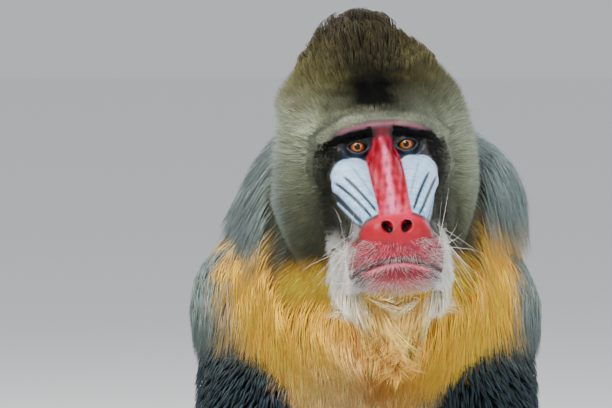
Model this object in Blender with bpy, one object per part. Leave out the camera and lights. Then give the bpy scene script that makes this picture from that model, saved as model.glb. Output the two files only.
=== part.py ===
"""A male mandrill at life size, sitting with its hands on the ground between its feet.

The animal is modelled whole, hair included, as one smooth form made of ovals and tapered
rods that flow into each other, and is then parted at the joints by thin flat cuts.  Metres,
+Z up, the animal faces -Y, its left side is +X and the ground is z = 0.  The origin is the
middle of its footprint.
"""

import bmesh
import bpy
import numpy as np
from mathutils import Matrix, Vector

# ---------------------------------------------------------------- sizes
# Metres, +Z up.  The animal faces -Y and its left side is +X.
EYE = np.array([0.010, -0.200, 0.600])      # point midway between the eye centres
HEAD_YAW, HEAD_ROLL, HEAD_PITCH = 3.2, 3.2, -4.0   # degrees
IPD = 43.4                                   # millimetres between the pupils
EYE_R = 11.5                                 # eyeball radius, millimetres
LID = 2.2                                    # thickness of the closed part of the lids, millimetres

SHOULDER = (0.088, -0.016, 0.436)            # joints of the left side (+X), mirrored for the right
ELBOW = (0.116, -0.100, 0.238)
WRIST = (0.082, -0.218, 0.052)
HIP = (0.070, 0.150, 0.108)
KNEE = (0.194, 0.028, 0.256)
ANKLE = (0.157, -0.028, 0.058)
FOOT_TURN, HAND_TURN = 12.0, 4.0             # degrees that foot and hand point outwards

# ---------------------------------------------------------------- field helpers
def smin(a, b, k):
    h = np.clip(0.5 + 0.5 * (b - a) / k, 0.0, 1.0)
    return b + (a - b) * h - k * h * (1.0 - h)


def smax(a, b, k):
    return -smin(-a, -b, k)


def step(x, lo, hi):
    t = np.clip((x - lo) / (hi - lo), 0.0, 1.0)
    return t * t * (3.0 - 2.0 * t)


def bump(x, centre, width):
    return np.exp(-(((x - centre) / width) ** 2))


def rotation(yaw=0.0, pitch=0.0, roll=0.0):
    """Columns are the local x, y and z axes.  Yaw turns -Y towards +X, roll lifts +X."""
    a, b, c = np.radians(yaw), np.radians(pitch), np.radians(roll)
    rz = np.array([[np.cos(a), -np.sin(a), 0], [np.sin(a), np.cos(a), 0], [0, 0, 1]])
    rx = np.array([[1, 0, 0], [0, np.cos(b), -np.sin(b)], [0, np.sin(b), np.cos(b)]])
    ry = np.array([[np.cos(c), 0, -np.sin(c)], [0, 1, 0], [np.sin(c), 0, np.cos(c)]])
    return rz @ rx @ ry


HEAD_ROT = rotation(HEAD_YAW, HEAD_PITCH, HEAD_ROLL)


def to_head(p):
    """World metres to head millimetres: x to the animal's left, f forwards, z up, from between the eyes."""
    q = (p - EYE) @ HEAD_ROT * 1000.0
    return q[..., 0], -q[..., 1], q[..., 2]


def from_head(x, f, z):
    q = np.stack(np.broadcast_arrays(np.asarray(x, float), -np.asarray(f, float), np.asarray(z, float)), -1)
    return q / 1000.0 @ HEAD_ROT.T + EYE


def ovoid(x, f, z, c, r, tilt=0.0):
    """Ellipsoid in head millimetres.  Tilt turns its f axis down by that many degrees."""
    dx, df, dz = x - c[0], f - c[1], z - c[2]
    if tilt:
        a = np.radians(tilt)
        df, dz = df * np.cos(a) - dz * np.sin(a), df * np.sin(a) + dz * np.cos(a)
    k0 = np.sqrt((dx / r[0]) ** 2 + (df / r[1]) ** 2 + (dz / r[2]) ** 2)
    k1 = np.sqrt((dx / r[0] ** 2) ** 2 + (df / r[1] ** 2) ** 2 + (dz / r[2] ** 2) ** 2)
    return k0 * (k0 - 1.0) / np.maximum(k1, 1e-9)


def rod(x, f, z, a, b, ra, rb):
    """Tapered capsule in head millimetres."""
    a, b = np.array(a, float), np.array(b, float)
    d = b - a
    t = np.clip(((x - a[0]) * d[0] + (f - a[1]) * d[1] + (z - a[2]) * d[2]) / (d @ d), 0, 1)
    return np.sqrt((x - a[0] - t * d[0]) ** 2 + (f - a[1] - t * d[1]) ** 2 + (z - a[2] - t * d[2]) ** 2) - (ra + (rb - ra) * t)


def egg(p, c, r, turn=None):
    """Ellipsoid in world metres."""
    q = p - np.array(c, float)
    if turn is not None:
        q = q @ turn
    r = np.array(r, float)
    k0 = np.sqrt(((q / r) ** 2).sum(-1))
    k1 = np.sqrt(((q / r ** 2) ** 2).sum(-1))
    return k0 * (k0 - 1.0) / np.maximum(k1, 1e-9)


def bone(p, a, b, ra, rb):
    """Tapered capsule in world metres."""
    a, b = np.array(a, float), np.array(b, float)
    d = b - a
    t = np.clip((p - a) @ d / (d @ d), 0, 1)
    return np.sqrt(((p - a - t[..., None] * d) ** 2).sum(-1)) - (ra + (rb - ra) * t)


def blended(fields, k):
    out = fields[0]
    for g in fields[1:]:
        out = smin(out, g, k)
    return out


# ---------------------------------------------------------------- head, in millimetres
def muzzle_box(x, f, z):
    """The broad square-ended muzzle: a rounded box swept from under the eyes to the lips."""
    a, b = np.array([-6.0, -62.0]), np.array([80.0, -98.0])
    d = b - a
    long = np.sqrt(d @ d)
    w = d / long
    s = ((f - a[0]) * w[0] + (z - a[1]) * w[1]) / long
    n = -(f - a[0]) * w[1] + (z - a[1]) * w[0]
    t = np.clip(s, 0, 1)
    rx = 44.5 - 3.5 * t - 2.5 * np.sin(np.pi * t)
    rn = np.where(n > 0, 46.0 - 15.0 * t, 50.0 - 17.0 * t)
    over = np.where(s > 1, (s - 1) * long / 25.0, np.where(s < 0, -s * long / 40.0, 0.0))
    e = 3.0
    k = ((np.abs(x) / rx) ** e + (np.abs(n) / rn) ** e + np.abs(over) ** e) ** (1 / e)
    return (k - 1.0) * np.minimum(rx, rn) * 0.9


def ridge(x, f, z):
    """One swollen ridge along each side of the nose, from under the eye to the nostril."""
    ax = np.abs(x)
    a, b = np.array([26.5, 15.0, -33.0]), np.array([19.0, 88.0, -61.0])
    d = b - a
    s = ((ax - a[0]) * d[0] + (f - a[1]) * d[1] + (z - a[2]) * d[2]) / (d @ d)
    t = np.clip(s, 0, 1)
    qx, qf, qz = ax - a[0] - t * d[0], f - a[1] - t * d[1], z - a[2] - t * d[2]
    rx, rz = 20.5 - 8.5 * t, 23.0 - 11.0 * t
    rf = 16.0
    k0 = np.sqrt((qx / rx) ** 2 + (qf / rf) ** 2 + (qz / rz) ** 2)
    k1 = np.sqrt((qx / rx ** 2) ** 2 + (qf / rf ** 2) ** 2 + (qz / rz ** 2) ** 2)
    return k0 * (k0 - 1) / np.maximum(k1, 1e-9)


def mouth_height(x, f):
    """Where the closed lips meet, falling from the middle to the corners."""
    return -101.0 - 10.5 * step(106.0 - f, 0, 62) - 0.0052 * np.minimum(np.abs(x), 42.0) ** 2 + 0.9 * np.cos(np.abs(x) / 9.0) * step(f, 70, 100)


def head_skin(x, f, z):
    """Bare head without its hair, in millimetres."""
    ax = np.abs(x)
    skull = ovoid(x, f, z, (0, -58, 13), (63, 70, 53), 6)
    g = smin(skull, ovoid(ax, f, z, (43, -22, -16), (19, 36, 20), 0), 18)       # cheekbone
    g = smin(g, ovoid(ax, f, z, (38, -34, -58), (24, 34, 48), -12), 16)         # jaw muscle
    brow = smin(rod(ax, f, z, (0, 11, 15.5), (30, 9.5, 17.0), 7.0, 7.0), rod(ax, f, z, (26, 10, 17.0), (50, -10, 8), 7.0, 6.0), 10)
    g = smin(g, brow, 12)
    g = smin(g, muzzle_box(x, f, z), 12)
    g = smin(g, rod(ax, f, z, (0, 1, 5), (4, 92, -73), 10.5, 14.5), 8)          # bridge of the nose
    g = smin(g, ridge(x, f, z), 3.5)
    g = smin(g, ovoid(x, f, z, (0, 97, -76), (29, 19, 17.5), 6), 6)             # end of the nose
    g = smin(g, ovoid(ax, f, z, (14, 102, -74), (13.5, 13.5, 12.5), 0), 6)      # wings of the nostrils
    g = smin(g, ovoid(x, f, z, (0, 86, -90), (38, 26, 15), 4), 9)               # upper lip
    g = smin(g, ovoid(x, f, z, (0, 68, -114), (39, 32, 17), 2), 6)              # lower lip and chin
    hollow = ovoid(ax, f, z, (22, 22, -1), (16.5, 16, 11.5), 0)                  # eye hollow
    g = smax(g, -hollow, 6)
    g = smin(g, np.sqrt((ax - IPD / 2) ** 2 + f ** 2 + z ** 2) - (EYE_R + LID), 3.0)  # lids over the eyeball
    g = g + 3.0 * bump(z, mouth_height(x, f), 2.0) * step(f, 38, 56)            # closed mouth
    nostril = ovoid(ax, f, z, (8.2, 116, -71), (4.4, 11, 4.2), 20)
    return smax(g, -nostril, 1.6)


def ruff(x, f, z):
    """Outside of the hair of the crown and cheeks, in millimetres: an egg round the skull, and the crest."""
    dx, dz = x + 4.0, z + 4.0
    df = f + 62.0 + 0.26 * np.maximum(dz, 0.0)
    rx, rf, rz = 100.0, np.where(df > 0, 69.0, 92.0), np.where(dz > 0, 106.0, 138.0)
    k0 = np.sqrt((dx / rx) ** 2 + (df / rf) ** 2 + (dz / rz) ** 2)
    k1 = np.sqrt((dx / rx ** 2) ** 2 + (df / rf ** 2) ** 2 + (dz / rz ** 2) ** 2)
    g = k0 * (k0 - 1.0) / np.maximum(k1, 1e-9)
    g = smin(g, ovoid(x, f, z, (-11, -76, 72), (40, 60, 40), -14), 30)
    return smax(g, -ovoid(np.abs(x), f, z, (99, -82, 1), (27, 31, 34), 0), 8)      # hair parted round the ear


def beard(x, f, z):
    """The pointed beard under the chin and the pale fringe round the jaw, in millimetres."""
    ax = np.abs(x)
    g = rod(ax, f, z, (0, 58, -128), (1, 40, -180), 27, 9)
    g = smin(g, rod(ax, f, z, (24, 44, -122), (13, 36, -158), 22, 14), 12)
    return smin(g, ovoid(ax, f, z, (37, 14, -106), (18, 33, 34), 0), 12)


# ---------------------------------------------------------------- body, in metres
def mirrored(p):
    q = p.copy()
    q[..., 0] = np.abs(q[..., 0])
    return q


def trunk_skin(p):
    g = egg(p, (0, 0.140, 0.100), (0.103, 0.100, 0.102))                                    # pelvis
    g = smin(g, egg(p, (0, 0.092, 0.210), (0.112, 0.114, 0.120)), 0.05)                      # belly
    g = smin(g, egg(p, (0, 0.040, 0.335), (0.108, 0.122, 0.145), rotation(0, 14, 0)), 0.05)  # ribs
    g = smin(g, egg(p, (0, 0.006, 0.435), (0.110, 0.100, 0.080)), 0.05)                      # shoulder girdle
    return smin(g, egg(p, (0, 0.030, 0.478), (0.080, 0.080, 0.060)), 0.04)                   # withers


def neck_skin(p):
    return smin(bone(p, (0, 0.0, 0.470), (0.008, -0.110, 0.590), 0.074, 0.060), bone(p, (0, -0.040, 0.425), (0.010, -0.120, 0.520), 0.062, 0.046), 0.03)


def along(a, b, t):
    return tuple(a[i] + (b[i] - a[i]) * t for i in range(3))


def arm_skin(p):
    g = bone(p, SHOULDER, ELBOW, 0.050, 0.034)
    g = smin(g, egg(p, along(SHOULDER, ELBOW, -0.04), (0.050, 0.060, 0.062)), 0.02)
    g = smin(g, bone(p, ELBOW, along(ELBOW, WRIST, 0.45), 0.036, 0.036), 0.012)
    return smin(g, bone(p, along(ELBOW, WRIST, 0.3), WRIST, 0.036, 0.0215), 0.02)


def leg_skin(p):
    g = bone(p, HIP, KNEE, 0.074, 0.046)
    g = smin(g, bone(p, KNEE, ANKLE, 0.043, 0.024), 0.015)
    return smin(g, bone(p, (0.188, 0.044, 0.208), (0.168, 0.014, 0.136), 0.031, 0.026), 0.02)  # calf


def placed(p, origin, turn):
    """Local coordinates of a hand or foot: u outwards, v forwards, w up."""
    a = np.radians(turn)
    q = p - np.array(origin, float)
    return q[..., 0] * np.cos(a) + q[..., 1] * np.sin(a), q[..., 0] * np.sin(a) - q[..., 1] * np.cos(a), q[..., 2]


def toes(u, v, w, table):
    """Fingers or toes from rows of base, knuckle and tip, each with its radius."""
    g = None
    for (bu, bv, bw), (ku, kv, kw), (tu, tv, tw), r in table:
        d = smin(bone_uvw(u, v, w, (bu, bv, bw), (ku, kv, kw), r, r * 0.95), bone_uvw(u, v, w, (ku, kv, kw), (tu, tv, tw), r * 0.95, r * 0.78), 0.003)
        g = d if g is None else np.minimum(g, d)
    return g


def bone_uvw(u, v, w, a, b, ra, rb):
    d = np.array(b, float) - np.array(a, float)
    t = np.clip(((u - a[0]) * d[0] + (v - a[1]) * d[1] + (w - a[2]) * d[2]) / (d @ d), 0, 1)
    return np.sqrt((u - a[0] - t * d[0]) ** 2 + (v - a[1] - t * d[1]) ** 2 + (w - a[2] - t * d[2]) ** 2) - (ra + (rb - ra) * t)


HAND_AT, FOOT_AT = (0.078, -0.252, 0.0), (0.160, -0.052, 0.0)


def finger_rows():
    """Four fingers and a thumb, spread by a rule.  u outwards, v forwards, w up, in metres."""
    rows = []
    for i, (length, out) in enumerate(((0.054, 0.026), (0.064, 0.009), (0.066, -0.009), (0.058, -0.026))):
        spread = out * 0.35
        rows.append(((out, 0.030, 0.014), (out + spread * 0.5, 0.030 + length * 0.5, 0.0145), (out + spread, 0.030 + length, 0.0062), 0.0086))
    rows.append(((-0.026, -0.012, 0.014), (-0.040, 0.004, 0.012), (-0.047, 0.018, 0.0065), 0.0080))
    return rows


def toe_rows():
    rows = []
    for i, (length, out) in enumerate(((0.044, 0.029), (0.052, 0.013), (0.056, -0.003), (0.052, -0.019))):
        spread = out * 0.25
        rows.append(((out, 0.092, 0.013), (out + spread * 0.5, 0.092 + length * 0.5, 0.014), (out + spread, 0.092 + length, 0.0062), 0.0088))
    rows.append(((-0.024, 0.035, 0.015), (-0.041, 0.062, 0.013), (-0.052, 0.088, 0.0075), 0.0105))
    return rows


def hand_skin(p):
    u, v, w = placed(p, HAND_AT, HAND_TURN)
    k0 = ((np.abs(u) / 0.037) ** 2.6 + (np.abs(v) / 0.048) ** 2.6 + (np.abs(w - 0.012) / 0.0165) ** 2.6) ** (1 / 2.6)
    g = smin((k0 - 1) * 0.0165, bone(p, WRIST, (0.079, -0.236, 0.025), 0.022, 0.019), 0.012)
    return smin(g, toes(u, v, w, finger_rows()), 0.004)


def foot_skin(p):
    u, v, w = placed(p, FOOT_AT, FOOT_TURN)
    g = bone_uvw(u, v, w, (-0.002, -0.040, 0.020), (0.000, 0.030, 0.026), 0.024, 0.026)
    k0 = ((np.abs(u) / 0.038) ** 2.6 + (np.abs(v - 0.062) / 0.048) ** 2.6 + (np.abs(w - 0.012) / 0.018) ** 2.6) ** (1 / 2.6)
    g = smin(g, (k0 - 1) * 0.018, 0.014)
    g = smin(g, bone(p, ANKLE, (0.158, -0.045, 0.030), 0.026, 0.024), 0.012)
    return smin(g, toes(u, v, w, toe_rows()), 0.004)


def tail_skin(p):
    return bone(p, (0, 0.232, 0.165), (0, 0.262, 0.222), 0.015, 0.008)


def near(f, reach):
    """1 close to a part of the body and 0 beyond reach."""
    return 1.0 - step(f, 0.0, reach)


def cape(p):
    """The long hair of the neck and shoulders, hanging from the nape over the withers."""
    g = egg(p, (0.011, 0.006, 0.512), (0.131, 0.112, 0.112))
    g = smin(g, egg(p, (0.018, -0.010, 0.545), (0.120, 0.092, 0.075)), 0.03)
    return smin(g, egg(p, (0.004, -0.060, 0.470), (0.112, 0.085, 0.100)), 0.04)


def body_coat(p):
    """How far the hair stands off the body's skin, in metres."""
    x, y, z = p[..., 0], p[..., 1], p[..., 2]
    ax = np.abs(x)
    m = mirrored(p)
    depth = 0.017 + 0.0 * x
    depth = depth + 0.017 * bump(np.sqrt(ax ** 2 + (y - 0.02) ** 2 + (z - 0.50) ** 2), 0, 0.13)      # mane
    depth = depth + 0.012 * bump(ax, 0, 0.07) * bump(z, 0.42, 0.09) * step(-y, -0.02, 0.05)          # chest
    low = step(z, 0.16, 0.30)
    arm = near(bone(m, ELBOW, WRIST, 0.045, 0.035), 0.03)
    depth = depth + (0.010 - depth) * arm * (1 - step(z, 0.17, 0.27))
    leg = near(bone(m, KNEE, ANKLE, 0.050, 0.040), 0.04)
    depth = depth + (0.009 - depth) * leg * (1 - step(z, 0.16, 0.27))
    depth = depth + (0.013 - depth) * near(bone(m, HIP, KNEE, 0.08, 0.06), 0.03) * (1 - low)
    depth = depth * step(z, 0.020, 0.075)
    rump = step(y, 0.135, 0.200) * (1 - step(z, 0.17, 0.215))
    depth = depth + (0.005 - depth) * near(tail_skin(p), 0.02)
    return depth * (1 - rump)


# ---------------------------------------------------------------- the whole form
def whole(p):
    """Signed distance, roughly, to the outside of the coat.  Negative inside."""
    m = mirrored(p)
    g = trunk_skin(p)
    g = smin(g, arm_skin(m), 0.03)
    g = smin(g, leg_skin(m), 0.025)
    g = smin(g, neck_skin(p), 0.04)
    g = smin(g, tail_skin(p), 0.015)
    g = smin(g, hand_skin(m), 0.008)
    g = smin(g, foot_skin(m), 0.008)
    g = smin(g - body_coat(p), cape(p), 0.03)
    x, f, z = to_head(p)
    h = smin(head_skin(x, f, z), ruff(x, f, z), 7)
    h = smin(h, beard(x, f, z), 14) / 1000.0
    return smin(g, h, 0.022)


CELL = 0.003                                 # spacing of the points that the form is drawn from
SPAN = ((-0.31, -0.41, -0.03), (0.31, 0.32, 0.76))


def unpinched(values):
    """Fills the points where the surface would touch itself along an edge or at a corner."""
    tiny = -1e-5
    for _ in range(12):
        found = 0
        for axis in range(3):
            u, v = (axis + 1) % 3, (axis + 2) % 3
            square = []
            for i, j in ((0, 0), (1, 1), (1, 0), (0, 1)):
                part = [slice(None)] * 3
                part[u] = slice(i, values.shape[u] - 1 + i)
                part[v] = slice(j, values.shape[v] - 1 + j)
                square.append(values[tuple(part)])
            signs = [part > 0 for part in square]
            touching = (signs[0] == signs[1]) & (signs[2] == signs[3]) & (signs[0] != signs[2])
            found += touching.sum()
            square[0][touching & signs[0]] = tiny
            square[2][touching & ~signs[0]] = tiny
        corners = {}
        for i in (0, 1):
            for j in (0, 1):
                for k in (0, 1):
                    corners[i, j, k] = values[i:values.shape[0] - 1 + i, j:values.shape[1] - 1 + j, k:values.shape[2] - 1 + k]
        outside = {key: part > 0 for key, part in corners.items()}
        number = sum(part.astype(np.int8) for part in outside.values())
        for j in (0, 1):
            for k in (0, 1):
                a, b = (0, j, k), (1, 1 - j, 1 - k)
                across = (number == 2) & outside[a] & outside[b]
                across |= (number == 6) & ~outside[a] & ~outside[b]
                found += across.sum()
                fill = across & (number == 2)
                corners[a][fill] = tiny
                corners[0, 1 - j, k][across & (number == 6)] = tiny
                corners[0, 1 - j, 1 - k][across & (number == 6)] = tiny
        if not found:
            break
    return values


def surface_quads(f, lo, hi, cell, coarse=4):
    """Points and quads of the surface f = 0: one point in each small cube that it passes through."""
    lo = np.array(lo, float)
    n = np.ceil((np.array(hi) - lo) / cell / coarse).astype(int) * coarse
    big, cn = cell * coarse, n // coarse
    axes = [lo[i] + (np.arange(cn[i]) + 0.5) * big for i in range(3)]
    d = f(np.stack(np.meshgrid(*axes, indexing="ij"), -1).reshape(-1, 3)).reshape(cn)
    values = np.where(d > 0, 1.0, -1.0)
    for axis in range(3):
        values = np.repeat(values, coarse, axis)
    offsets = np.stack(np.meshgrid(*[np.arange(coarse)] * 3, indexing="ij"), -1).reshape(-1, 3)
    blocks = np.argwhere(np.abs(d) < big * 1.5)
    for start in range(0, len(blocks), 4000):
        g = (blocks[start:start + 4000, None, :] * coarse + offsets).reshape(-1, 3)
        values[g[:, 0], g[:, 1], g[:, 2]] = f(lo + (g + 0.5) * cell)
    values = unpinched(values)
    outside = values > 0
    cubes = np.array(values.shape) - 1
    corners = np.array([(i, j, k) for i in (0, 1) for j in (0, 1) for k in (0, 1)])
    total = sum(outside[i:i + cubes[0], j:j + cubes[1], k:k + cubes[2]].astype(np.int8) for i, j, k in corners)
    mixed = np.argwhere((total > 0) & (total < 8))
    index = -np.ones(cubes, np.int64)
    index[tuple(mixed.T)] = np.arange(len(mixed))
    place, count = np.zeros((len(mixed), 3)), np.zeros(len(mixed))
    for corner in corners:
        for axis in range(3):
            if corner[axis]:
                continue
            other = corner.copy()
            other[axis] = 1
            a, b = values[tuple((mixed + corner).T)], values[tuple((mixed + other).T)]
            crossed = (a > 0) != (b > 0)
            where = np.repeat(corner[None].astype(float), crossed.sum(), 0)
            where[:, axis] = a[crossed] / (a[crossed] - b[crossed])
            place[crossed] += where
            count[crossed] += 1
    points = lo + (mixed + 0.5 + place / count[:, None]) * cell
    quads = []
    for axis in range(3):
        u, v = np.eye(3, dtype=int)[(axis + 1) % 3], np.eye(3, dtype=int)[(axis + 2) % 3]
        first = [slice(None)] * 3
        second = [slice(None)] * 3
        first[axis], second[axis] = slice(0, -1), slice(1, None)
        hit = np.argwhere(outside[tuple(first)] != outside[tuple(second)])
        quad = np.stack([index[tuple((hit - step_).T)] for step_ in (u + v, v, 0 * u, u)], 1)
        rising = ~outside[tuple(hit.T)]
        quad[~rising] = quad[~rising][:, ::-1]
        quads.append(quad)
    return points, np.concatenate(quads)


def mesh_object(name, points, faces):
    mesh = bpy.data.meshes.new(name)
    mesh.from_pydata(np.asarray(points).tolist(), [], np.asarray(faces).tolist())
    mesh.update()
    made = bpy.data.objects.new(name, mesh)
    bpy.context.scene.collection.objects.link(made)
    return made


def applied(obj):
    """The object with its modifiers made real."""
    graph = bpy.context.evaluated_depsgraph_get()
    mesh = bpy.data.meshes.new_from_object(obj.evaluated_get(graph))
    old = obj.data
    obj.modifiers.clear()
    obj.data = mesh
    mesh.name = obj.name
    bpy.data.meshes.remove(old)
    return obj


# ---------------------------------------------------------------- cutting
GAP = 0.0004                                 # width of the cuts between neighbouring pieces


def cutter(bm):
    """A helper that takes its shape out of another object and isn't part of the model."""
    bmesh.ops.recalc_face_normals(bm, faces=bm.faces)
    if bm.calc_volume(signed=True) < 0:
        bmesh.ops.reverse_faces(bm, faces=bm.faces)
    mesh = bpy.data.meshes.new("cutter")
    bm.to_mesh(mesh)
    bm.free()
    made = bpy.data.objects.new("cutter", mesh)
    bpy.context.scene.collection.objects.link(made)
    made.hide_render = True
    made.display_type = "WIRE"
    return made


def region(planes, grow=0.0):
    """The space behind all of these planes, each a point and the direction out of the region."""
    bm = bmesh.new()
    bmesh.ops.create_cube(bm, size=1.9)
    for point, out in planes:
        n = Vector(out).normalized()
        geometry = bm.verts[:] + bm.edges[:] + bm.faces[:]
        cut = bmesh.ops.bisect_plane(bm, geom=geometry, plane_co=Vector(point) + n * grow, plane_no=n, clear_outer=True)
        edges = [e for e in cut["geom_cut"] if isinstance(e, bmesh.types.BMEdge)]
        if edges:
            bmesh.ops.contextual_create(bm, geom=edges)
    return cutter(bm)


def combined(mesh, tool, operation, name):
    """A new object: the mesh with the tool's shape taken out of it or kept of it."""
    made = bpy.data.objects.new(name, mesh.copy())
    bpy.context.scene.collection.objects.link(made)
    change = made.modifiers.new("cut", "BOOLEAN")
    change.operation, change.solver, change.object = operation, "EXACT", tool
    bpy.context.view_layer.update()
    applied(made)
    return made


def bodies(obj):
    """The separate bodies of one object as meshes, biggest first.  Crumbs are dropped."""
    bm = bmesh.new()
    bm.from_mesh(obj.data)
    bm.faces.ensure_lookup_table()
    group = [-1] * len(bm.faces)
    out = []
    for face in bm.faces:
        if group[face.index] >= 0:
            continue
        stack, found = [face], []
        group[face.index] = len(out)
        while stack:
            here = stack.pop()
            found.append(here)
            for edge in here.edges:
                for other in edge.link_faces:
                    if group[other.index] < 0:
                        group[other.index] = len(out)
                        stack.append(other)
        part, copies = bmesh.new(), {}
        for here in found:
            for v in here.verts:
                if v.index not in copies:
                    copies[v.index] = part.verts.new(v.co)
            part.faces.new([copies[v.index] for v in here.verts])
        bmesh.ops.recalc_face_normals(part, faces=part.faces)
        volume = part.calc_volume(signed=False)
        mesh = bpy.data.meshes.new(obj.name)
        part.to_mesh(mesh)
        part.free()
        out.append((volume, mesh))
    bm.free()
    bpy.data.objects.remove(obj)
    return [mesh for volume, mesh in sorted(out, key=lambda pair: -pair[0]) if volume > 1e-6]


def points_of(mesh):
    points = np.empty(len(mesh.vertices) * 3)
    mesh.vertices.foreach_get("co", points)
    return points.reshape(-1, 3)


def middle(mesh):
    return points_of(mesh).mean(0)


def take(pieces, source, name, planes, rest=None):
    """Cuts a region out of one piece under a name of its own.

    What is left keeps the source's name, and further bodies that come loose are named by the
    point in rest that lies nearest to each.
    """
    mesh = pieces.pop(source)
    tool = region(planes, -GAP / 2)
    inside = bodies(combined(mesh, tool, "INTERSECT", name))
    bpy.data.objects.remove(tool)
    tool = region(planes, GAP / 2)
    outside = bodies(combined(mesh, tool, "DIFFERENCE", source))
    bpy.data.objects.remove(tool)
    pieces[name] = inside[0]
    spare = outside + inside[1:]
    pieces[source] = spare.pop(0)
    for mesh in spare:
        if rest:
            place = middle(mesh)
            label = min(rest, key=lambda k: np.linalg.norm(place - np.array(rest[k])))
            if label not in pieces:
                pieces[label] = mesh


# ---------------------------------------------------------------- build
TRIANGLES = 4600                             # of the whole form before it is parted


def clear():
    for obj in list(bpy.data.objects):
        bpy.data.objects.remove(obj)


def whole_form():
    """The outer form as one closed mesh, finer on the head, the hands and the feet."""
    points, quads = surface_quads(whole, *SPAN, CELL)
    body = mesh_object("body", points, quads)
    x, f, z = to_head(points)
    face = step(f, -70, 10) * step(z, -190, -160)
    m = mirrored(points)
    ends = np.maximum(near(hand_skin(m), 0.02), near(foot_skin(m), 0.02)) * (1 - step(points[:, 2], 0.05, 0.08))
    group = body.vertex_groups.new(name="coarse")
    weight = np.clip(1.0 - 0.60 * face - 0.32 * ends, 0.0, 1.0)
    for level in np.unique(np.round(weight, 1)):
        chosen = np.flatnonzero(np.round(weight, 1) == level)
        group.add(chosen.tolist(), float(level), "REPLACE")
    thin = body.modifiers.new("thin", "DECIMATE")
    thin.ratio = TRIANGLES / (2.0 * len(quads))
    thin.vertex_group = "coarse"
    thin.vertex_group_factor = 0.3
    thin.use_collapse_triangulate = True
    return applied(body)



def at_head(x, f, z):
    return Vector(from_head(x, f, z))


def head_direction(x, f, z):
    return Vector((from_head(x, f, z) - from_head(0, 0, 0)) * 1000.0)


def both(v, s):
    return (v[0] * s, v[1], v[2])


def ear_form(s, grow=0.0):
    """A cupped oval plate standing out behind the cheek, millimetres, open forwards and outwards."""
    bm = bmesh.new()
    bmesh.ops.create_uvsphere(bm, u_segments=14, v_segments=7, radius=1.0)
    turn = np.radians(-38)
    for vert in bm.verts:
        across, up, thick = vert.co
        cup = 2.6 * max(0.0, 1 - (across ** 2 + up ** 2) / 0.5) if thick > 0 else 0.0
        u = across * (18 + grow) * (1.35 if across < 0 else 1.0)
        v = np.copysign(abs(thick) ** 0.6, thick) * (3.2 + grow) - cup - 0.010 * u * u
        x = 76 + np.cos(turn) * u - np.sin(turn) * v
        f = -78 + np.sin(turn) * u + np.cos(turn) * v
        vert.co = at_head(s * x, f, 1 + up * (24 + grow))
    if bm.calc_volume(signed=True) < 0:
        bmesh.ops.reverse_faces(bm, faces=bm.faces)
    return bm


def eye_opening(s):
    """A pointed oval, as wide as the slit between the lids, running forwards from the eyeball."""
    bm = bmesh.new()
    rings = []
    for f in (2.0, 40.0):
        ring = []
        for i in range(12):
            a = 2 * np.pi * i / 12
            wide, tall = 8.6 * np.cos(a), 5.0 * np.sin(a) * (1 - 0.25 * abs(np.cos(a)))
            ring.append(bm.verts.new(at_head(s * IPD / 2 + wide, f, -0.6 + tall)))
        rings.append(ring)
    for i in range(12):
        j = (i + 1) % 12
        bm.faces.new((rings[0][i], rings[0][j], rings[1][j], rings[1][i]))
    bm.faces.new(rings[0][::-1])
    bm.faces.new(rings[1])
    bmesh.ops.recalc_face_normals(bm, faces=bm.faces)
    return cutter(bm)


def ball(centre, radius, segments=20, rings=12):
    bm = bmesh.new()
    bmesh.ops.create_uvsphere(bm, u_segments=segments, v_segments=rings, radius=radius)
    bmesh.ops.transform(bm, matrix=Matrix.Translation(centre), verts=bm.verts)
    return bm


clear()
body = whole_form()
pieces = {}
ground = region([((0, 0, 0), (0, 0, 1))])
pieces["chest"] = bodies(combined(body.data, ground, "DIFFERENCE", "chest"))[0]
bpy.data.objects.remove(ground)
bpy.data.objects.remove(body)


def towards(a, b):
    return Vector(b) - Vector(a)


def beyond(a, b, t, lift=0.0):
    """A point along the line from a to b."""
    return Vector(a) + (Vector(b) - Vector(a)) * t


take(pieces, "chest", "head", [((0, -0.190, 0.476), (0, 0.724, -0.690))])
take(pieces, "chest", "neck", [((0, -0.150, 0.440), (0, 0.724, -0.690))])


def over_thigh(hip, knee, above_hip, above_knee):
    """The plane lying along the top of the thigh."""
    hip, knee = Vector(hip), Vector(knee)
    along_ = (knee - hip).normalized()
    across = along_.cross(Vector((0, 0, 1))).normalized()
    up = across.cross(along_)
    a, b = hip + up * above_hip, knee + up * above_knee
    out = across.cross(b - a)
    return a, out if out.z > 0 else -out


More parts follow.
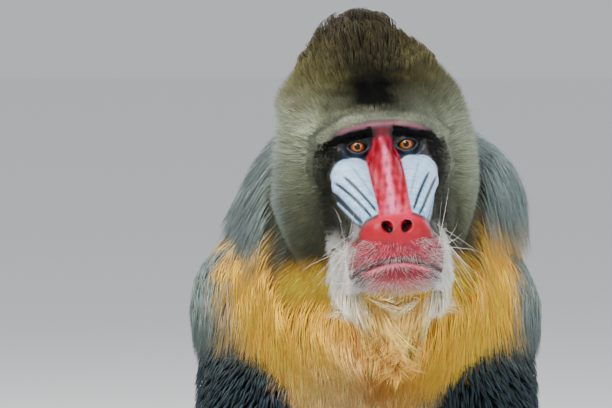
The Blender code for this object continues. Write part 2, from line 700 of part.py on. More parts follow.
for s, side in ((1, "left"), (-1, "right")):
    shoulder, elbow, wrist = both(SHOULDER, s), both(ELBOW, s), both(WRIST, s)
    take(pieces, "chest", "upper_arm_" + side, [
        ((s * 0.068, 0, 0.45), (-s, 0, 0.11)),                  # inner side, against the ribs
        ((0, 0.058, 0.480), (0, 1, -0.413)),                     # behind the shoulder blade's edge
        ((0, 0, 0.492), (0, 0, 1)),                               # top of the shoulder
        ((s * 0.174, 0, 0), (s, 0, 0)),                           # outer side, clear of the knee
        (beyond(shoulder, elbow, 1.10), (0, -0.12, -1)),  # elbow
    ], {"forearm_" + side: both(beyond(ELBOW, WRIST, 0.6), s)})
    take(pieces, "forearm_" + side, "hand_" + side, [(beyond(elbow, wrist, 0.97), towards(wrist, elbow))])
    hip, knee, ankle = both(HIP, s), both(KNEE, s), both(ANKLE, s)
    bend = Vector((s * 0.389, -0.851, -0.355))                    # across the knee, from thigh to shank
    fold = Vector(knee) - bend * 0.014
    take(pieces, "chest", "shank_" + side, [
        ((s * 0.127, 0, 0.22), (-s, 0, 0.3)),
        (fold, -bend),
    ])
    take(pieces, "shank_" + side, "foot_" + side, [(beyond(knee, ankle, 0.93), (0.0, 0.25, 0.97))])
    take(pieces, "chest", "thigh_" + side, [
        ((s * 0.103, 0.11, 0.16), (-s, -0.10, 0.06)),
        over_thigh(hip, knee, 0.088, 0.066),
    ])
take(pieces, "chest", "tail", [((0, 0.256, 0.180), (0, -0.97, -0.24)), ((0, 0, 0.27), (0, 0, 1)), ((0.04, 0, 0), (1, 0, 0)), ((-0.04, 0, 0), (-1, 0, 0))])
take(pieces, "chest", "pelvis", [((0, 0.12, 0.165), (0, -0.25, 0.97))])
take(pieces, "chest", "belly", [((0, 0.06, 0.300), (0, -0.25, 0.97))])

# The head: eyes, ears, the lower jaw with its beard, and the muzzle.
for s, side in ((1, "left"), (-1, "right")):
    mesh = bpy.data.meshes.new("ear_" + side)
    made = ear_form(s)
    made.to_mesh(mesh)
    made.free()
    pieces["ear_" + side] = mesh
    socket = cutter(ear_form(s, 0.8))
    mesh = pieces.pop("head")
    pieces["head"] = bodies(combined(mesh, socket, "DIFFERENCE", "head"))[0]
    bpy.data.objects.remove(socket)
    for tool in (eye_opening(s), cutter(ball(at_head(s * IPD / 2, 0, 0), (EYE_R + 0.55) / 1000.0, 14, 8))):
        mesh = pieces.pop("head")
        pieces["head"] = bodies(combined(mesh, tool, "DIFFERENCE", "head"))[0]
        bpy.data.objects.remove(tool)
    eye = ball(at_head(s * IPD / 2, 0, 0), EYE_R / 1000.0, 14, 8)
    mesh = bpy.data.meshes.new("eye_" + side)
    eye.to_mesh(mesh)
    eye.free()
    pieces["eye_" + side] = mesh
take(pieces, "head", "lower_jaw", [
    (at_head(0, 106, -101), head_direction(0, -0.167, 0.986)),
    (at_head(0, -8, -150), head_direction(0, -1, 0)),
])
take(pieces, "head", "muzzle", [(at_head(0, 32, -50), head_direction(0, -1, 0)), (at_head(0, 0, 30), head_direction(0, 0, 1))])


# ---------------------------------------------------------------- finish
COLOURS = {
    "head": (0.23, 0.22, 0.15), "muzzle": (0.55, 0.10, 0.11), "lower_jaw": (0.62, 0.46, 0.22),
    "ear": (0.42, 0.30, 0.28), "eye": (0.30, 0.12, 0.03), "neck": (0.20, 0.19, 0.14),
    "chest": (0.40, 0.30, 0.14), "belly": (0.33, 0.32, 0.27), "pelvis": (0.30, 0.24, 0.34), "tail": (0.17, 0.16, 0.12),
    "upper_arm": (0.13, 0.15, 0.15), "forearm": (0.13, 0.14, 0.13), "hand": (0.06, 0.055, 0.055),
    "thigh": (0.17, 0.17, 0.15), "shank": (0.16, 0.15, 0.12), "foot": (0.06, 0.055, 0.055),
}


def material(name, colour, roughness):
    made = bpy.data.materials.get(name) or bpy.data.materials.new(name)
    made.use_nodes = True
    shader = made.node_tree.nodes["Principled BSDF"]
    shader.inputs["Base Color"].default_value = (*colour, 1.0)
    shader.inputs["Roughness"].default_value = roughness
    shader.inputs["Metallic"].default_value = 0.0
    return made


animal = bpy.data.objects.new("mandrill", None)
bpy.context.scene.collection.objects.link(animal)
points = np.concatenate([points_of(mesh) for mesh in pieces.values()])
centre = (points.min(0) + points.max(0)) / 2
for name, mesh in pieces.items():
    mesh.name = name
    mesh.transform(Matrix.Translation((-centre[0], -centre[1], 0.0)))
    made = bpy.data.objects.new(name, mesh)
    bpy.context.scene.collection.objects.link(made)
    made.parent = animal
    kind = name.replace("_left", "").replace("_right", "")
    mesh.materials.clear()
    mesh.materials.append(material(name + "_surface", COLOURS[kind], 0.15 if kind == "eye" else 0.85 if kind not in ("hand", "foot", "muzzle") else 0.6))
    mesh.shade_smooth()
    mesh.set_sharp_from_angle(angle=np.radians(38))
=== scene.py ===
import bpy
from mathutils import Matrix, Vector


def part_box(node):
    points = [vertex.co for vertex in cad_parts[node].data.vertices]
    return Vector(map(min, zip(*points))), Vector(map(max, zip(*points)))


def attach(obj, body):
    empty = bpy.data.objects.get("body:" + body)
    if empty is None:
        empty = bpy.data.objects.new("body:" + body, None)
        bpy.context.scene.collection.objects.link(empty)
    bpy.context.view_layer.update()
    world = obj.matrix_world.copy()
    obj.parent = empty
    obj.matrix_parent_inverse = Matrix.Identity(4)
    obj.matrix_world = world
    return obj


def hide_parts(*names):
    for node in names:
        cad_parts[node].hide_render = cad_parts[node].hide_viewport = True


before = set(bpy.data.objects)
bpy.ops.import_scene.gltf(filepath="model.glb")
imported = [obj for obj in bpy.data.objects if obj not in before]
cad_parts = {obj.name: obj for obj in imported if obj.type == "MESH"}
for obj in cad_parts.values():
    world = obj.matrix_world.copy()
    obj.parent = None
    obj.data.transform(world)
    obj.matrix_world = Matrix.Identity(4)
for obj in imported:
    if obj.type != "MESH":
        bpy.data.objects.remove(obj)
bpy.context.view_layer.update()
# A male mandrill at life size, sitting with its hands on the ground between its feet: one skin with
# its eyes and nails, and a coat of fine tufts that grow from the skin.  Metres, +Z up, the animal
# faces -Y and its left side is +X.
import math

import bpy
import numpy as np
from mathutils import Vector

# ---------------------------------------------------------------- sizes
# Metres, +Z up.  The animal faces -Y and its left side is +X.
EYE = np.array([0.010, -0.200, 0.600])      # point midway between the eye centres
HEAD_YAW, HEAD_ROLL, HEAD_PITCH = 3.2, 3.2, -4.0   # degrees
IPD = 43.4                                   # millimetres between the pupils
EYE_R = 11.5                                 # eyeball radius, millimetres
LID = 1.5                                    # thickness of the closed part of the lids, millimetres

SHOULDER = (0.088, -0.016, 0.436)            # joints of the left side (+X), mirrored for the right
ELBOW = (0.116, -0.100, 0.238)
WRIST = (0.082, -0.218, 0.052)
HIP = (0.070, 0.150, 0.108)
KNEE = (0.194, 0.028, 0.256)
ANKLE = (0.157, -0.028, 0.058)
FOOT_TURN, HAND_TURN = 12.0, 4.0             # degrees that foot and hand point outwards

# ---------------------------------------------------------------- field helpers
def smin(a, b, k):
    h = np.clip(0.5 + 0.5 * (b - a) / k, 0.0, 1.0)
    return b + (a - b) * h - k * h * (1.0 - h)


def smax(a, b, k):
    return -smin(-a, -b, k)


def step(x, lo, hi):
    t = np.clip((x - lo) / (hi - lo), 0.0, 1.0)
    return t * t * (3.0 - 2.0 * t)


def bump(x, centre, width):
    return np.exp(-(((x - centre) / width) ** 2))


def rotation(yaw=0.0, pitch=0.0, roll=0.0):
    """Columns are the local x, y and z axes.  Yaw turns -Y towards +X, roll lifts +X."""
    a, b, c = np.radians(yaw), np.radians(pitch), np.radians(roll)
    rz = np.array([[np.cos(a), -np.sin(a), 0], [np.sin(a), np.cos(a), 0], [0, 0, 1]])
    rx = np.array([[1, 0, 0], [0, np.cos(b), -np.sin(b)], [0, np.sin(b), np.cos(b)]])
    ry = np.array([[np.cos(c), 0, -np.sin(c)], [0, 1, 0], [np.sin(c), 0, np.cos(c)]])
    return rz @ rx @ ry


HEAD_ROT = rotation(HEAD_YAW, HEAD_PITCH, HEAD_ROLL)


def to_head(p):
    """World metres to head millimetres: x to the animal's left, f forwards, z up, from between the eyes."""
    q = (p - EYE) @ HEAD_ROT * 1000.0
    return q[..., 0], -q[..., 1], q[..., 2]


def from_head(x, f, z):
    q = np.stack(np.broadcast_arrays(np.asarray(x, float), -np.asarray(f, float), np.asarray(z, float)), -1)
    return q / 1000.0 @ HEAD_ROT.T + EYE


def ovoid(x, f, z, c, r, tilt=0.0):
    """Ellipsoid in head millimetres.  Tilt turns its f axis down by that many degrees."""
    dx, df, dz = x - c[0], f - c[1], z - c[2]
    if tilt:
        a = np.radians(tilt)
        df, dz = df * np.cos(a) - dz * np.sin(a), df * np.sin(a) + dz * np.cos(a)
    k0 = np.sqrt((dx / r[0]) ** 2 + (df / r[1]) ** 2 + (dz / r[2]) ** 2)
    k1 = np.sqrt((dx / r[0] ** 2) ** 2 + (df / r[1] ** 2) ** 2 + (dz / r[2] ** 2) ** 2)
    return k0 * (k0 - 1.0) / np.maximum(k1, 1e-9)


def rod(x, f, z, a, b, ra, rb):
    """Tapered capsule in head millimetres."""
    a, b = np.array(a, float), np.array(b, float)
    d = b - a
    t = np.clip(((x - a[0]) * d[0] + (f - a[1]) * d[1] + (z - a[2]) * d[2]) / (d @ d), 0, 1)
    return np.sqrt((x - a[0] - t * d[0]) ** 2 + (f - a[1] - t * d[1]) ** 2 + (z - a[2] - t * d[2]) ** 2) - (ra + (rb - ra) * t)


def egg(p, c, r, turn=None):
    """Ellipsoid in world metres."""
    q = p - np.array(c, float)
    if turn is not None:
        q = q @ turn
    r = np.array(r, float)
    k0 = np.sqrt(((q / r) ** 2).sum(-1))
    k1 = np.sqrt(((q / r ** 2) ** 2).sum(-1))
    return k0 * (k0 - 1.0) / np.maximum(k1, 1e-9)


def bone(p, a, b, ra, rb):
    """Tapered capsule in world metres."""
    a, b = np.array(a, float), np.array(b, float)
    d = b - a
    t = np.clip((p - a) @ d / (d @ d), 0, 1)
    return np.sqrt(((p - a - t[..., None] * d) ** 2).sum(-1)) - (ra + (rb - ra) * t)


def blended(fields, k):
    out = fields[0]
    for g in fields[1:]:
        out = smin(out, g, k)
    return out


# ---------------------------------------------------------------- head, in millimetres
def muzzle_box(x, f, z):
    """The broad square-ended muzzle: a rounded box swept from under the eyes to the lips."""
    a, b = np.array([-6.0, -62.0]), np.array([80.0, -98.0])
    d = b - a
    long = np.sqrt(d @ d)
    w = d / long
    s = ((f - a[0]) * w[0] + (z - a[1]) * w[1]) / long
    n = -(f - a[0]) * w[1] + (z - a[1]) * w[0]
    t = np.clip(s, 0, 1)
    rx = 44.5 - 3.5 * t - 2.5 * np.sin(np.pi * t)
    rn = np.where(n > 0, 46.0 - 15.0 * t, 50.0 - 17.0 * t)
    over = np.where(s > 1, (s - 1) * long / 25.0, np.where(s < 0, -s * long / 40.0, 0.0))
    e = 3.0
    k = ((np.abs(x) / rx) ** e + (np.abs(n) / rn) ** e + np.abs(over) ** e) ** (1 / e)
    return (k - 1.0) * np.minimum(rx, rn) * 0.9


def ridge(x, f, z):
    """One swollen ridge along each side of the nose, from under the eye to the nostril."""
    ax = np.abs(x)
    a, b = np.array([26.5, 15.0, -33.0]), np.array([19.0, 88.0, -61.0])
    d = b - a
    s = ((ax - a[0]) * d[0] + (f - a[1]) * d[1] + (z - a[2]) * d[2]) / (d @ d)
    t = np.clip(s, 0, 1)
    qx, qf, qz = ax - a[0] - t * d[0], f - a[1] - t * d[1], z - a[2] - t * d[2]
    rx, rz = 20.5 - 8.5 * t, 23.0 - 11.0 * t
    rf = 16.0
    k0 = np.sqrt((qx / rx) ** 2 + (qf / rf) ** 2 + (qz / rz) ** 2)
    k1 = np.sqrt((qx / rx ** 2) ** 2 + (qf / rf ** 2) ** 2 + (qz / rz ** 2) ** 2)
    return k0 * (k0 - 1) / np.maximum(k1, 1e-9)


def mouth_height(x, f):
    """Where the closed lips meet, falling from the middle to the corners."""
    return -101.0 - 10.5 * step(106.0 - f, 0, 62) - 0.0052 * np.minimum(np.abs(x), 42.0) ** 2 + 0.9 * np.cos(np.abs(x) / 9.0) * step(f, 70, 100)


def head_skin(x, f, z):
    """Bare head without its hair, in millimetres."""
    ax = np.abs(x)
    skull = ovoid(x, f, z, (0, -58, 13), (63, 70, 53), 6)
    g = smin(skull, ovoid(ax, f, z, (43, -22, -16), (19, 36, 20), 0), 18)       # cheekbone
    g = smin(g, ovoid(ax, f, z, (38, -34, -58), (24, 34, 48), -12), 16)         # jaw muscle
    brow = smin(rod(ax, f, z, (0, 11, 15.5), (30, 9.5, 17.0), 7.0, 7.0), rod(ax, f, z, (26, 10, 17.0), (50, -10, 8), 7.0, 6.0), 10)
    g = smin(g, brow, 12)
    g = smin(g, muzzle_box(x, f, z), 12)
    g = smin(g, rod(ax, f, z, (0, 1, 5), (4, 92, -73), 10.5, 14.5), 8)          # bridge of the nose
    g = smin(g, ridge(x, f, z), 3.5)
    g = smin(g, ovoid(x, f, z, (0, 97, -76), (29, 19, 17.5), 6), 6)             # end of the nose
    g = smin(g, ovoid(ax, f, z, (14, 102, -74), (13.5, 13.5, 12.5), 0), 6)      # wings of the nostrils
    g = smin(g, ovoid(x, f, z, (0, 86, -90), (38, 26, 15), 4), 9)               # upper lip
    g = smin(g, ovoid(x, f, z, (0, 68, -114), (39, 32, 17), 2), 6)              # lower lip and chin
    hollow = ovoid(ax, f, z, (22, 22, -1), (16.5, 16, 11.5), 0)                  # eye hollow
    g = smax(g, -hollow, 6)
    g = smin(g, np.sqrt((ax - IPD / 2) ** 2 + f ** 2 + z ** 2) - (EYE_R + LID), 3.0)  # lids over the eyeball
    g = g + 3.0 * bump(z, mouth_height(x, f), 2.0) * step(f, 38, 56)            # closed mouth
    nostril = ovoid(ax, f, z, (8.2, 116, -71), (4.4, 11, 4.2), 20)
    return smax(g, -nostril, 1.6)


def ruff(x, f, z):
    """Outside of the hair of the crown and cheeks, in millimetres: an egg round the skull, and the crest."""
    dx, dz = x + 4.0, z + 4.0
    df = f + 62.0 + 0.26 * np.maximum(dz, 0.0)
    rx, rf, rz = 100.0, np.where(df > 0, 69.0, 92.0), np.where(dz > 0, 106.0, 138.0)
    k0 = np.sqrt((dx / rx) ** 2 + (df / rf) ** 2 + (dz / rz) ** 2)
    k1 = np.sqrt((dx / rx ** 2) ** 2 + (df / rf ** 2) ** 2 + (dz / rz ** 2) ** 2)
    g = k0 * (k0 - 1.0) / np.maximum(k1, 1e-9)
    g = smin(g, ovoid(x, f, z, (-11, -76, 72), (40, 60, 40), -14), 30)
    return smax(g, -ovoid(np.abs(x), f, z, (99, -82, 1), (27, 31, 34), 0), 8)      # hair parted round the ear


def beard(x, f, z):
    """The pointed beard under the chin and the pale fringe round the jaw, in millimetres."""
    ax = np.abs(x)
    g = rod(ax, f, z, (0, 58, -128), (1, 40, -180), 27, 9)
    g = smin(g, rod(ax, f, z, (24, 44, -122), (13, 36, -158), 22, 14), 12)
    return smin(g, ovoid(ax, f, z, (37, 14, -106), (18, 33, 34), 0), 12)


def ear(x, f, z):
    """A small naked ear standing behind the ruff, in millimetres."""
    ax = np.abs(x)
    a = np.radians(-38)
    u = (ax - 76) * np.cos(a) + (f + 78) * np.sin(a)
    v = -(ax - 76) * np.sin(a) + (f + 78) * np.cos(a)
    plate = np.sqrt((u / 18.0) ** 2 + ((z - 1) / 24.0) ** 2)
    shell = np.maximum((plate - 1) * 18.0, np.abs(v + 0.010 * u * u) - 3.2)
    cup = ((np.sqrt(((u - 2) / 12.0) ** 2 + ((z - 2) / 16.0) ** 2)) - 1) * 12.0
    return smax(smin(shell, rod(ax, f, z, (54, -64, -4), (70, -74, -2), 10, 8), 6), -np.maximum(cup, -(v - 0.6)), 1.5)


# ---------------------------------------------------------------- body, in metres
def mirrored(p):
    q = p.copy()
    q[..., 0] = np.abs(q[..., 0])
    return q


def trunk_skin(p):
    g = egg(p, (0, 0.140, 0.100), (0.103, 0.100, 0.102))                                    # pelvis
    g = smin(g, egg(p, (0, 0.092, 0.210), (0.112, 0.114, 0.120)), 0.05)                      # belly
    g = smin(g, egg(p, (0, 0.040, 0.335), (0.108, 0.122, 0.145), rotation(0, 14, 0)), 0.05)  # ribs
    g = smin(g, egg(p, (0, 0.006, 0.435), (0.110, 0.100, 0.080)), 0.05)                      # shoulder girdle
    return smin(g, egg(p, (0, 0.030, 0.478), (0.080, 0.080, 0.060)), 0.04)                   # withers


def neck_skin(p):
    return smin(bone(p, (0, 0.0, 0.470), (0.008, -0.110, 0.590), 0.074, 0.060), bone(p, (0, -0.040, 0.425), (0.010, -0.120, 0.520), 0.062, 0.046), 0.03)


def along(a, b, t):
    return tuple(a[i] + (b[i] - a[i]) * t for i in range(3))


def arm_skin(p):
    g = bone(p, SHOULDER, ELBOW, 0.050, 0.034)
    g = smin(g, egg(p, along(SHOULDER, ELBOW, -0.04), (0.050, 0.060, 0.062)), 0.02)
    g = smin(g, bone(p, ELBOW, along(ELBOW, WRIST, 0.45), 0.036, 0.036), 0.012)
    return smin(g, bone(p, along(ELBOW, WRIST, 0.3), WRIST, 0.036, 0.0215), 0.02)


def leg_skin(p):
    g = bone(p, HIP, KNEE, 0.074, 0.046)
    g = smin(g, bone(p, KNEE, ANKLE, 0.043, 0.024), 0.015)
    return smin(g, bone(p, (0.188, 0.044, 0.208), (0.168, 0.014, 0.136), 0.031, 0.026), 0.02)  # calf


def placed(p, origin, turn):
    """Local coordinates of a hand or foot: u outwards, v forwards, w up."""
    a = np.radians(turn)
    q = p - np.array(origin, float)
    return q[..., 0] * np.cos(a) + q[..., 1] * np.sin(a), q[..., 0] * np.sin(a) - q[..., 1] * np.cos(a), q[..., 2]


def toes(u, v, w, table):
    """Fingers or toes from rows of base, knuckle and tip, each with its radius."""
    g = None
    for (bu, bv, bw), (ku, kv, kw), (tu, tv, tw), r in table:
        d = smin(bone_uvw(u, v, w, (bu, bv, bw), (ku, kv, kw), r, r * 0.95), bone_uvw(u, v, w, (ku, kv, kw), (tu, tv, tw), r * 0.95, r * 0.78), 0.003)
        g = d if g is None else np.minimum(g, d)
    return g


def bone_uvw(u, v, w, a, b, ra, rb):
    d = np.array(b, float) - np.array(a, float)
    t = np.clip(((u - a[0]) * d[0] + (v - a[1]) * d[1] + (w - a[2]) * d[2]) / (d @ d), 0, 1)
    return np.sqrt((u - a[0] - t * d[0]) ** 2 + (v - a[1] - t * d[1]) ** 2 + (w - a[2] - t * d[2]) ** 2) - (ra + (rb - ra) * t)


HAND_AT, FOOT_AT = (0.078, -0.252, 0.0), (0.160, -0.052, 0.0)


def finger_rows():
    """Four fingers and a thumb, spread by a rule.  u outwards, v forwards, w up, in metres."""
    rows = []
    for i, (length, out) in enumerate(((0.054, 0.026), (0.064, 0.009), (0.066, -0.009), (0.058, -0.026))):
        spread = out * 0.35
        rows.append(((out, 0.030, 0.014), (out + spread * 0.5, 0.030 + length * 0.5, 0.0145), (out + spread, 0.030 + length, 0.0062), 0.0086))
    rows.append(((-0.026, -0.012, 0.014), (-0.040, 0.004, 0.012), (-0.047, 0.018, 0.0065), 0.0080))
    return rows


def toe_rows():
    rows = []
    for i, (length, out) in enumerate(((0.044, 0.029), (0.052, 0.013), (0.056, -0.003), (0.052, -0.019))):
        spread = out * 0.25
        rows.append(((out, 0.092, 0.013), (out + spread * 0.5, 0.092 + length * 0.5, 0.014), (out + spread, 0.092 + length, 0.0062), 0.0088))
    rows.append(((-0.024, 0.035, 0.015), (-0.041, 0.062, 0.013), (-0.052, 0.088, 0.0075), 0.0105))
    return rows


def hand_skin(p):
    u, v, w = placed(p, HAND_AT, HAND_TURN)
    k0 = ((np.abs(u) / 0.037) ** 2.6 + (np.abs(v) / 0.048) ** 2.6 + (np.abs(w - 0.012) / 0.0165) ** 2.6) ** (1 / 2.6)
    g = smin((k0 - 1) * 0.0165, bone(p, WRIST, (0.079, -0.236, 0.025), 0.022, 0.019), 0.012)
    return smin(g, toes(u, v, w, finger_rows()), 0.004)


def foot_skin(p):
    u, v, w = placed(p, FOOT_AT, FOOT_TURN)
    g = bone_uvw(u, v, w, (-0.002, -0.040, 0.020), (0.000, 0.030, 0.026), 0.024, 0.026)
    k0 = ((np.abs(u) / 0.038) ** 2.6 + (np.abs(v - 0.062) / 0.048) ** 2.6 + (np.abs(w - 0.012) / 0.018) ** 2.6) ** (1 / 2.6)
    g = smin(g, (k0 - 1) * 0.018, 0.014)
    g = smin(g, bone(p, ANKLE, (0.158, -0.045, 0.030), 0.026, 0.024), 0.012)
    return smin(g, toes(u, v, w, toe_rows()), 0.004)


def tail_skin(p):
    return bone(p, (0, 0.232, 0.165), (0, 0.262, 0.222), 0.015, 0.008)


def near(f, reach):
    """1 close to a part of the body and 0 beyond reach."""
    return 1.0 - step(f, 0.0, reach)


def cape(p):
    """The long hair of the neck and shoulders, hanging from the nape over the withers."""
    g = egg(p, (0.011, 0.006, 0.512), (0.131, 0.112, 0.112))
    g = smin(g, egg(p, (0.018, -0.010, 0.545), (0.120, 0.092, 0.075)), 0.03)
    return smin(g, egg(p, (0.004, -0.060, 0.470), (0.112, 0.085, 0.100)), 0.04)


def body_coat(p):
    """How far the hair stands off the body's skin, in metres."""
    x, y, z = p[..., 0], p[..., 1], p[..., 2]
    ax = np.abs(x)
    m = mirrored(p)
    depth = 0.017 + 0.0 * x
    depth = depth + 0.017 * bump(np.sqrt(ax ** 2 + (y - 0.02) ** 2 + (z - 0.50) ** 2), 0, 0.13)      # mane
    depth = depth + 0.012 * bump(ax, 0, 0.07) * bump(z, 0.42, 0.09) * step(-y, -0.02, 0.05)          # chest
    low = step(z, 0.16, 0.30)
    arm = near(bone(m, ELBOW, WRIST, 0.045, 0.035), 0.03)
    depth = depth + (0.010 - depth) * arm * (1 - step(z, 0.17, 0.27))
    leg = near(bone(m, KNEE, ANKLE, 0.050, 0.040), 0.04)
    depth = depth + (0.009 - depth) * leg * (1 - step(z, 0.16, 0.27))
    depth = depth + (0.013 - depth) * near(bone(m, HIP, KNEE, 0.08, 0.06), 0.03) * (1 - low)
    depth = depth * step(z, 0.020, 0.075)
    rump = step(y, 0.135, 0.200) * (1 - step(z, 0.17, 0.215))
    depth = depth + (0.005 - depth) * near(tail_skin(p), 0.02)
    return depth * (1 - rump)


# ---------------------------------------------------------------- the outside of the coat and the skin
def whole(p):
    """Signed distance, roughly, to the outside of the coat.  Negative inside."""
    m = mirrored(p)
    g = trunk_skin(p)
    g = smin(g, arm_skin(m), 0.03)
    g = smin(g, leg_skin(m), 0.025)
    g = smin(g, neck_skin(p), 0.04)
    g = smin(g, tail_skin(p), 0.015)
    g = smin(g, hand_skin(m), 0.008)
    g = smin(g, foot_skin(m), 0.008)
    g = smin(g - body_coat(p), cape(p), 0.03)
    x, f, z = to_head(p)
    h = smin(head_skin(x, f, z), ruff(x, f, z), 7)
    h = smin(h, beard(x, f, z), 14) / 1000.0
    return smin(g, h, 0.022)


def bare_body(p):
    m = mirrored(p)
    g = trunk_skin(p)
    g = smin(g, arm_skin(m), 0.03)
    g = smin(g, leg_skin(m), 0.025)
    g = smin(g, neck_skin(p), 0.04)
    g = smin(g, tail_skin(p), 0.015)
    g = smin(g, hand_skin(m), 0.008)
    return smin(g, foot_skin(m), 0.008)


FURROWS = (                                  # each groove of the ridges: low end, fall to the high end, spread, bow, depth
    (-44.0, 27.0, 16.0, 13.5, 2.0, 0.4),
    (-56.0, 29.0, 16.5, 19.5, 4.0, 1.5),
    (-61.0, 29.0, 21.0, 22.0, 4.0, 1.7),
    (-66.0, 26.0, 28.5, 17.0, 0.0, 1.7),
    (-68.5, 13.0, 33.0, 10.0, 0.0, 1.2),
)


def furrow(x, z, width=1.5):
    """How deep the grooves of the swollen ridges are at a point of the face, in millimetres."""
    ax = np.abs(x)
    out = 0.0 * ax
    for low, tall, start, spread, bow, depth in FURROWS:
        t = (z - low) / tall
        s = np.clip(t, -0.15, 1.15)
        line = start + spread * s - bow * s * (1 - s)
        out = np.maximum(out, depth * bump(ax, line, width * (1 + 0.4 * s)) * step(t, -0.12, 0.08) * (1 - step(t, 0.88, 1.15)))
    return out


def slit(x, z):
    """The opening between the lids, a pointed oval, in millimetres from its edge.  Negative inside."""
    u = (np.abs(x) - IPD / 2) / 8.5
    w = z + 0.4 - 0.05 * (np.abs(x) - IPD / 2)
    half = np.where(w > 0, 4.3, 4.5) * np.clip(1 - u * u, 0, 1) ** 0.72
    return np.where(np.abs(u) < 1, np.abs(w) - half, (np.abs(u) - 1) * 8.5 + np.abs(w) * 0.6)


def bare_head(x, f, z):
    """The naked head with its ears, the grooves of the ridges, folds and open lids."""
    g = head_skin(x, f, z)
    on = 1 - step(np.abs(ridge(x, f, z)), 2.0, 5.0)
    front = step(f, -4, 8)
    g = g + furrow(x, z) * on * front
    ax = np.abs(x)
    g = g - 0.9 * bump(slit(x, z), 1.6, 1.1) * bump(f, 8, 9)                     # rims of the lids
    g = g + 0.8 * bump(z, 9.4 - 0.012 * (ax - 22) ** 2, 1.2) * step(ax, 8, 14) * (1 - step(ax, 34, 40)) * front   # fold over the upper lid
    g = g + 0.7 * bump(z, -9.5 + 0.016 * (ax - 22) ** 2, 1.1) * step(ax, 9, 14) * (1 - step(ax, 32, 38)) * front  # fold under the eye
    g = g + 0.8 * bump(x, 0.0, 0.9) * step(f, 86, 94) * (1 - step(z, -78, -72)) * step(z, -99, -92)              # groove of the upper lip
    carve = np.maximum(slit(x, z), 6.0 - f)
    g = smax(g, -carve, 0.7)
    return smax(g, -rod(ax, f, z, (10.4, 112, -68.5), (6.4, 113, -73.5), 2.2, 2.4), 1.2)       # slanted nostrils


def on_head(p):
    """1 on the head and its hair, 0 on the rest."""
    x, f, z = to_head(p)
    return near(np.minimum(ruff(x, f, z), head_skin(x, f, z)) / 1000.0, 0.03) * step(z, -146, -110)


def on_chin(p, low=-122.0, high=-110.0):
    """1 on the beard."""
    x, f, z = to_head(p)
    return near(beard(x, f, z) / 1000.0, 0.014) * (1 - step(z, low, high)) * step(f, -8, 6)


def beside(x, f, z):
    """1 in the pale band of hair that frames the muzzle from the nose to the beard."""
    ax = np.abs(x)
    out = step(ax, 38, 43) * (1 - step(ax, 52, 61))
    return out * step(-z, 78, 96) * step(f, -10, 6) * (1 - step(f, 56, 70)) * (1 - step(-z, 150, 172))


def pelt(p):
    """How deep the coat is where it hides more than the naked body, in metres."""
    x, f, z = to_head(p)
    r = np.sqrt((x / 62.0) ** 2 + ((z + 20.0) / 95.0) ** 2)
    on_head = 4.5 + 7.5 * step(r, 0.85, 1.4) + 4.0 * step(z, 60, 100)
    chin = near(beard(x, f, z) / 1000.0, 0.02) * (1 - step(z, -125, -110))
    on_head = on_head + (8.0 - on_head) * chin
    on_head = on_head + 4.0 * step(-f, 30, 90)
    return (on_head + (18.0 - on_head) * step(-z, 125, 165) * (1 - chin)) / 1000.0


def skin(p):
    """Signed distance, roughly, to the skin."""
    x, f, z = to_head(p)
    h = smin(bare_head(x, f, z), ear(x * 1.05, f + 4.0, z), 4.0) / 1000.0
    g = smin(h, bare_body(p), 0.02)
    return np.maximum(smin(g, whole(p) + pelt(p), 0.006), 0.0006 - p[..., 2])


def normals_of(points, quads):
    """Unit normals at the points of a mesh of quads."""
    across = np.cross(points[quads[:, 2]] - points[quads[:, 0]], points[quads[:, 3]] - points[quads[:, 1]])
    out = np.zeros(points.shape)
    for k in range(4):
        for i in range(3):
            out[:, i] += np.bincount(quads[:, k], across[:, i], len(points))
    return out / np.maximum(np.linalg.norm(out, axis=1, keepdims=True), 1e-12)


# ---------------------------------------------------------------- mesh of the skin
def marks(lo, hi, fine_lo, fine_hi, fine, coarse):
    """Grid lines along one axis, close together in the middle stretch.  Their number is a multiple of four."""
    middle = np.arange(fine_lo, fine_hi, fine)
    before = fine_lo - coarse * np.arange(int((fine_lo - lo) / coarse) + 1, 0, -1)
    after = middle[-1] + coarse * np.arange(1, int((hi - fine_hi) / coarse) + 6)
    line = np.concatenate([before, middle, after])
    return line[:len(line) // 4 * 4]


def sampled(f, axes, coarse=4):
    """Values of f on the grid, worked out only near its surface."""
    n = [len(a) // coarse for a in axes]
    mid = [a.reshape(-1, coarse).mean(1) for a in axes]
    reach = [np.ptp(np.append(a, a[-1] + (a[-1] - a[-2])).take(np.arange(coarse + 1) + coarse * np.arange(m)[:, None]), axis=1) for a, m in zip(axes, n)]
    centres = np.stack(np.meshgrid(*mid, indexing="ij"), -1).reshape(-1, 3)
    d = f(centres).reshape(n)
    size = np.sqrt(sum(np.reshape(r, [-1 if i == k else 1 for i in range(3)]) ** 2 for k, r in enumerate(reach))) / 2
    values = np.where(d > 0, 1.0, -1.0).astype(np.float32)
    for axis in range(3):
        values = np.repeat(values, coarse, axis)
    blocks = np.argwhere(np.abs(d) < size * 1.35 + 0.002)
    offsets = np.stack(np.meshgrid(*[np.arange(coarse)] * 3, indexing="ij"), -1).reshape(-1, 3)
    for start in range(0, len(blocks), 5000):
        g = (blocks[start:start + 5000, None, :] * coarse + offsets).reshape(-1, 3)
        p = np.stack([axes[i][g[:, i]] for i in range(3)], -1)
        values[g[:, 0], g[:, 1], g[:, 2]] = f(p)
    return values


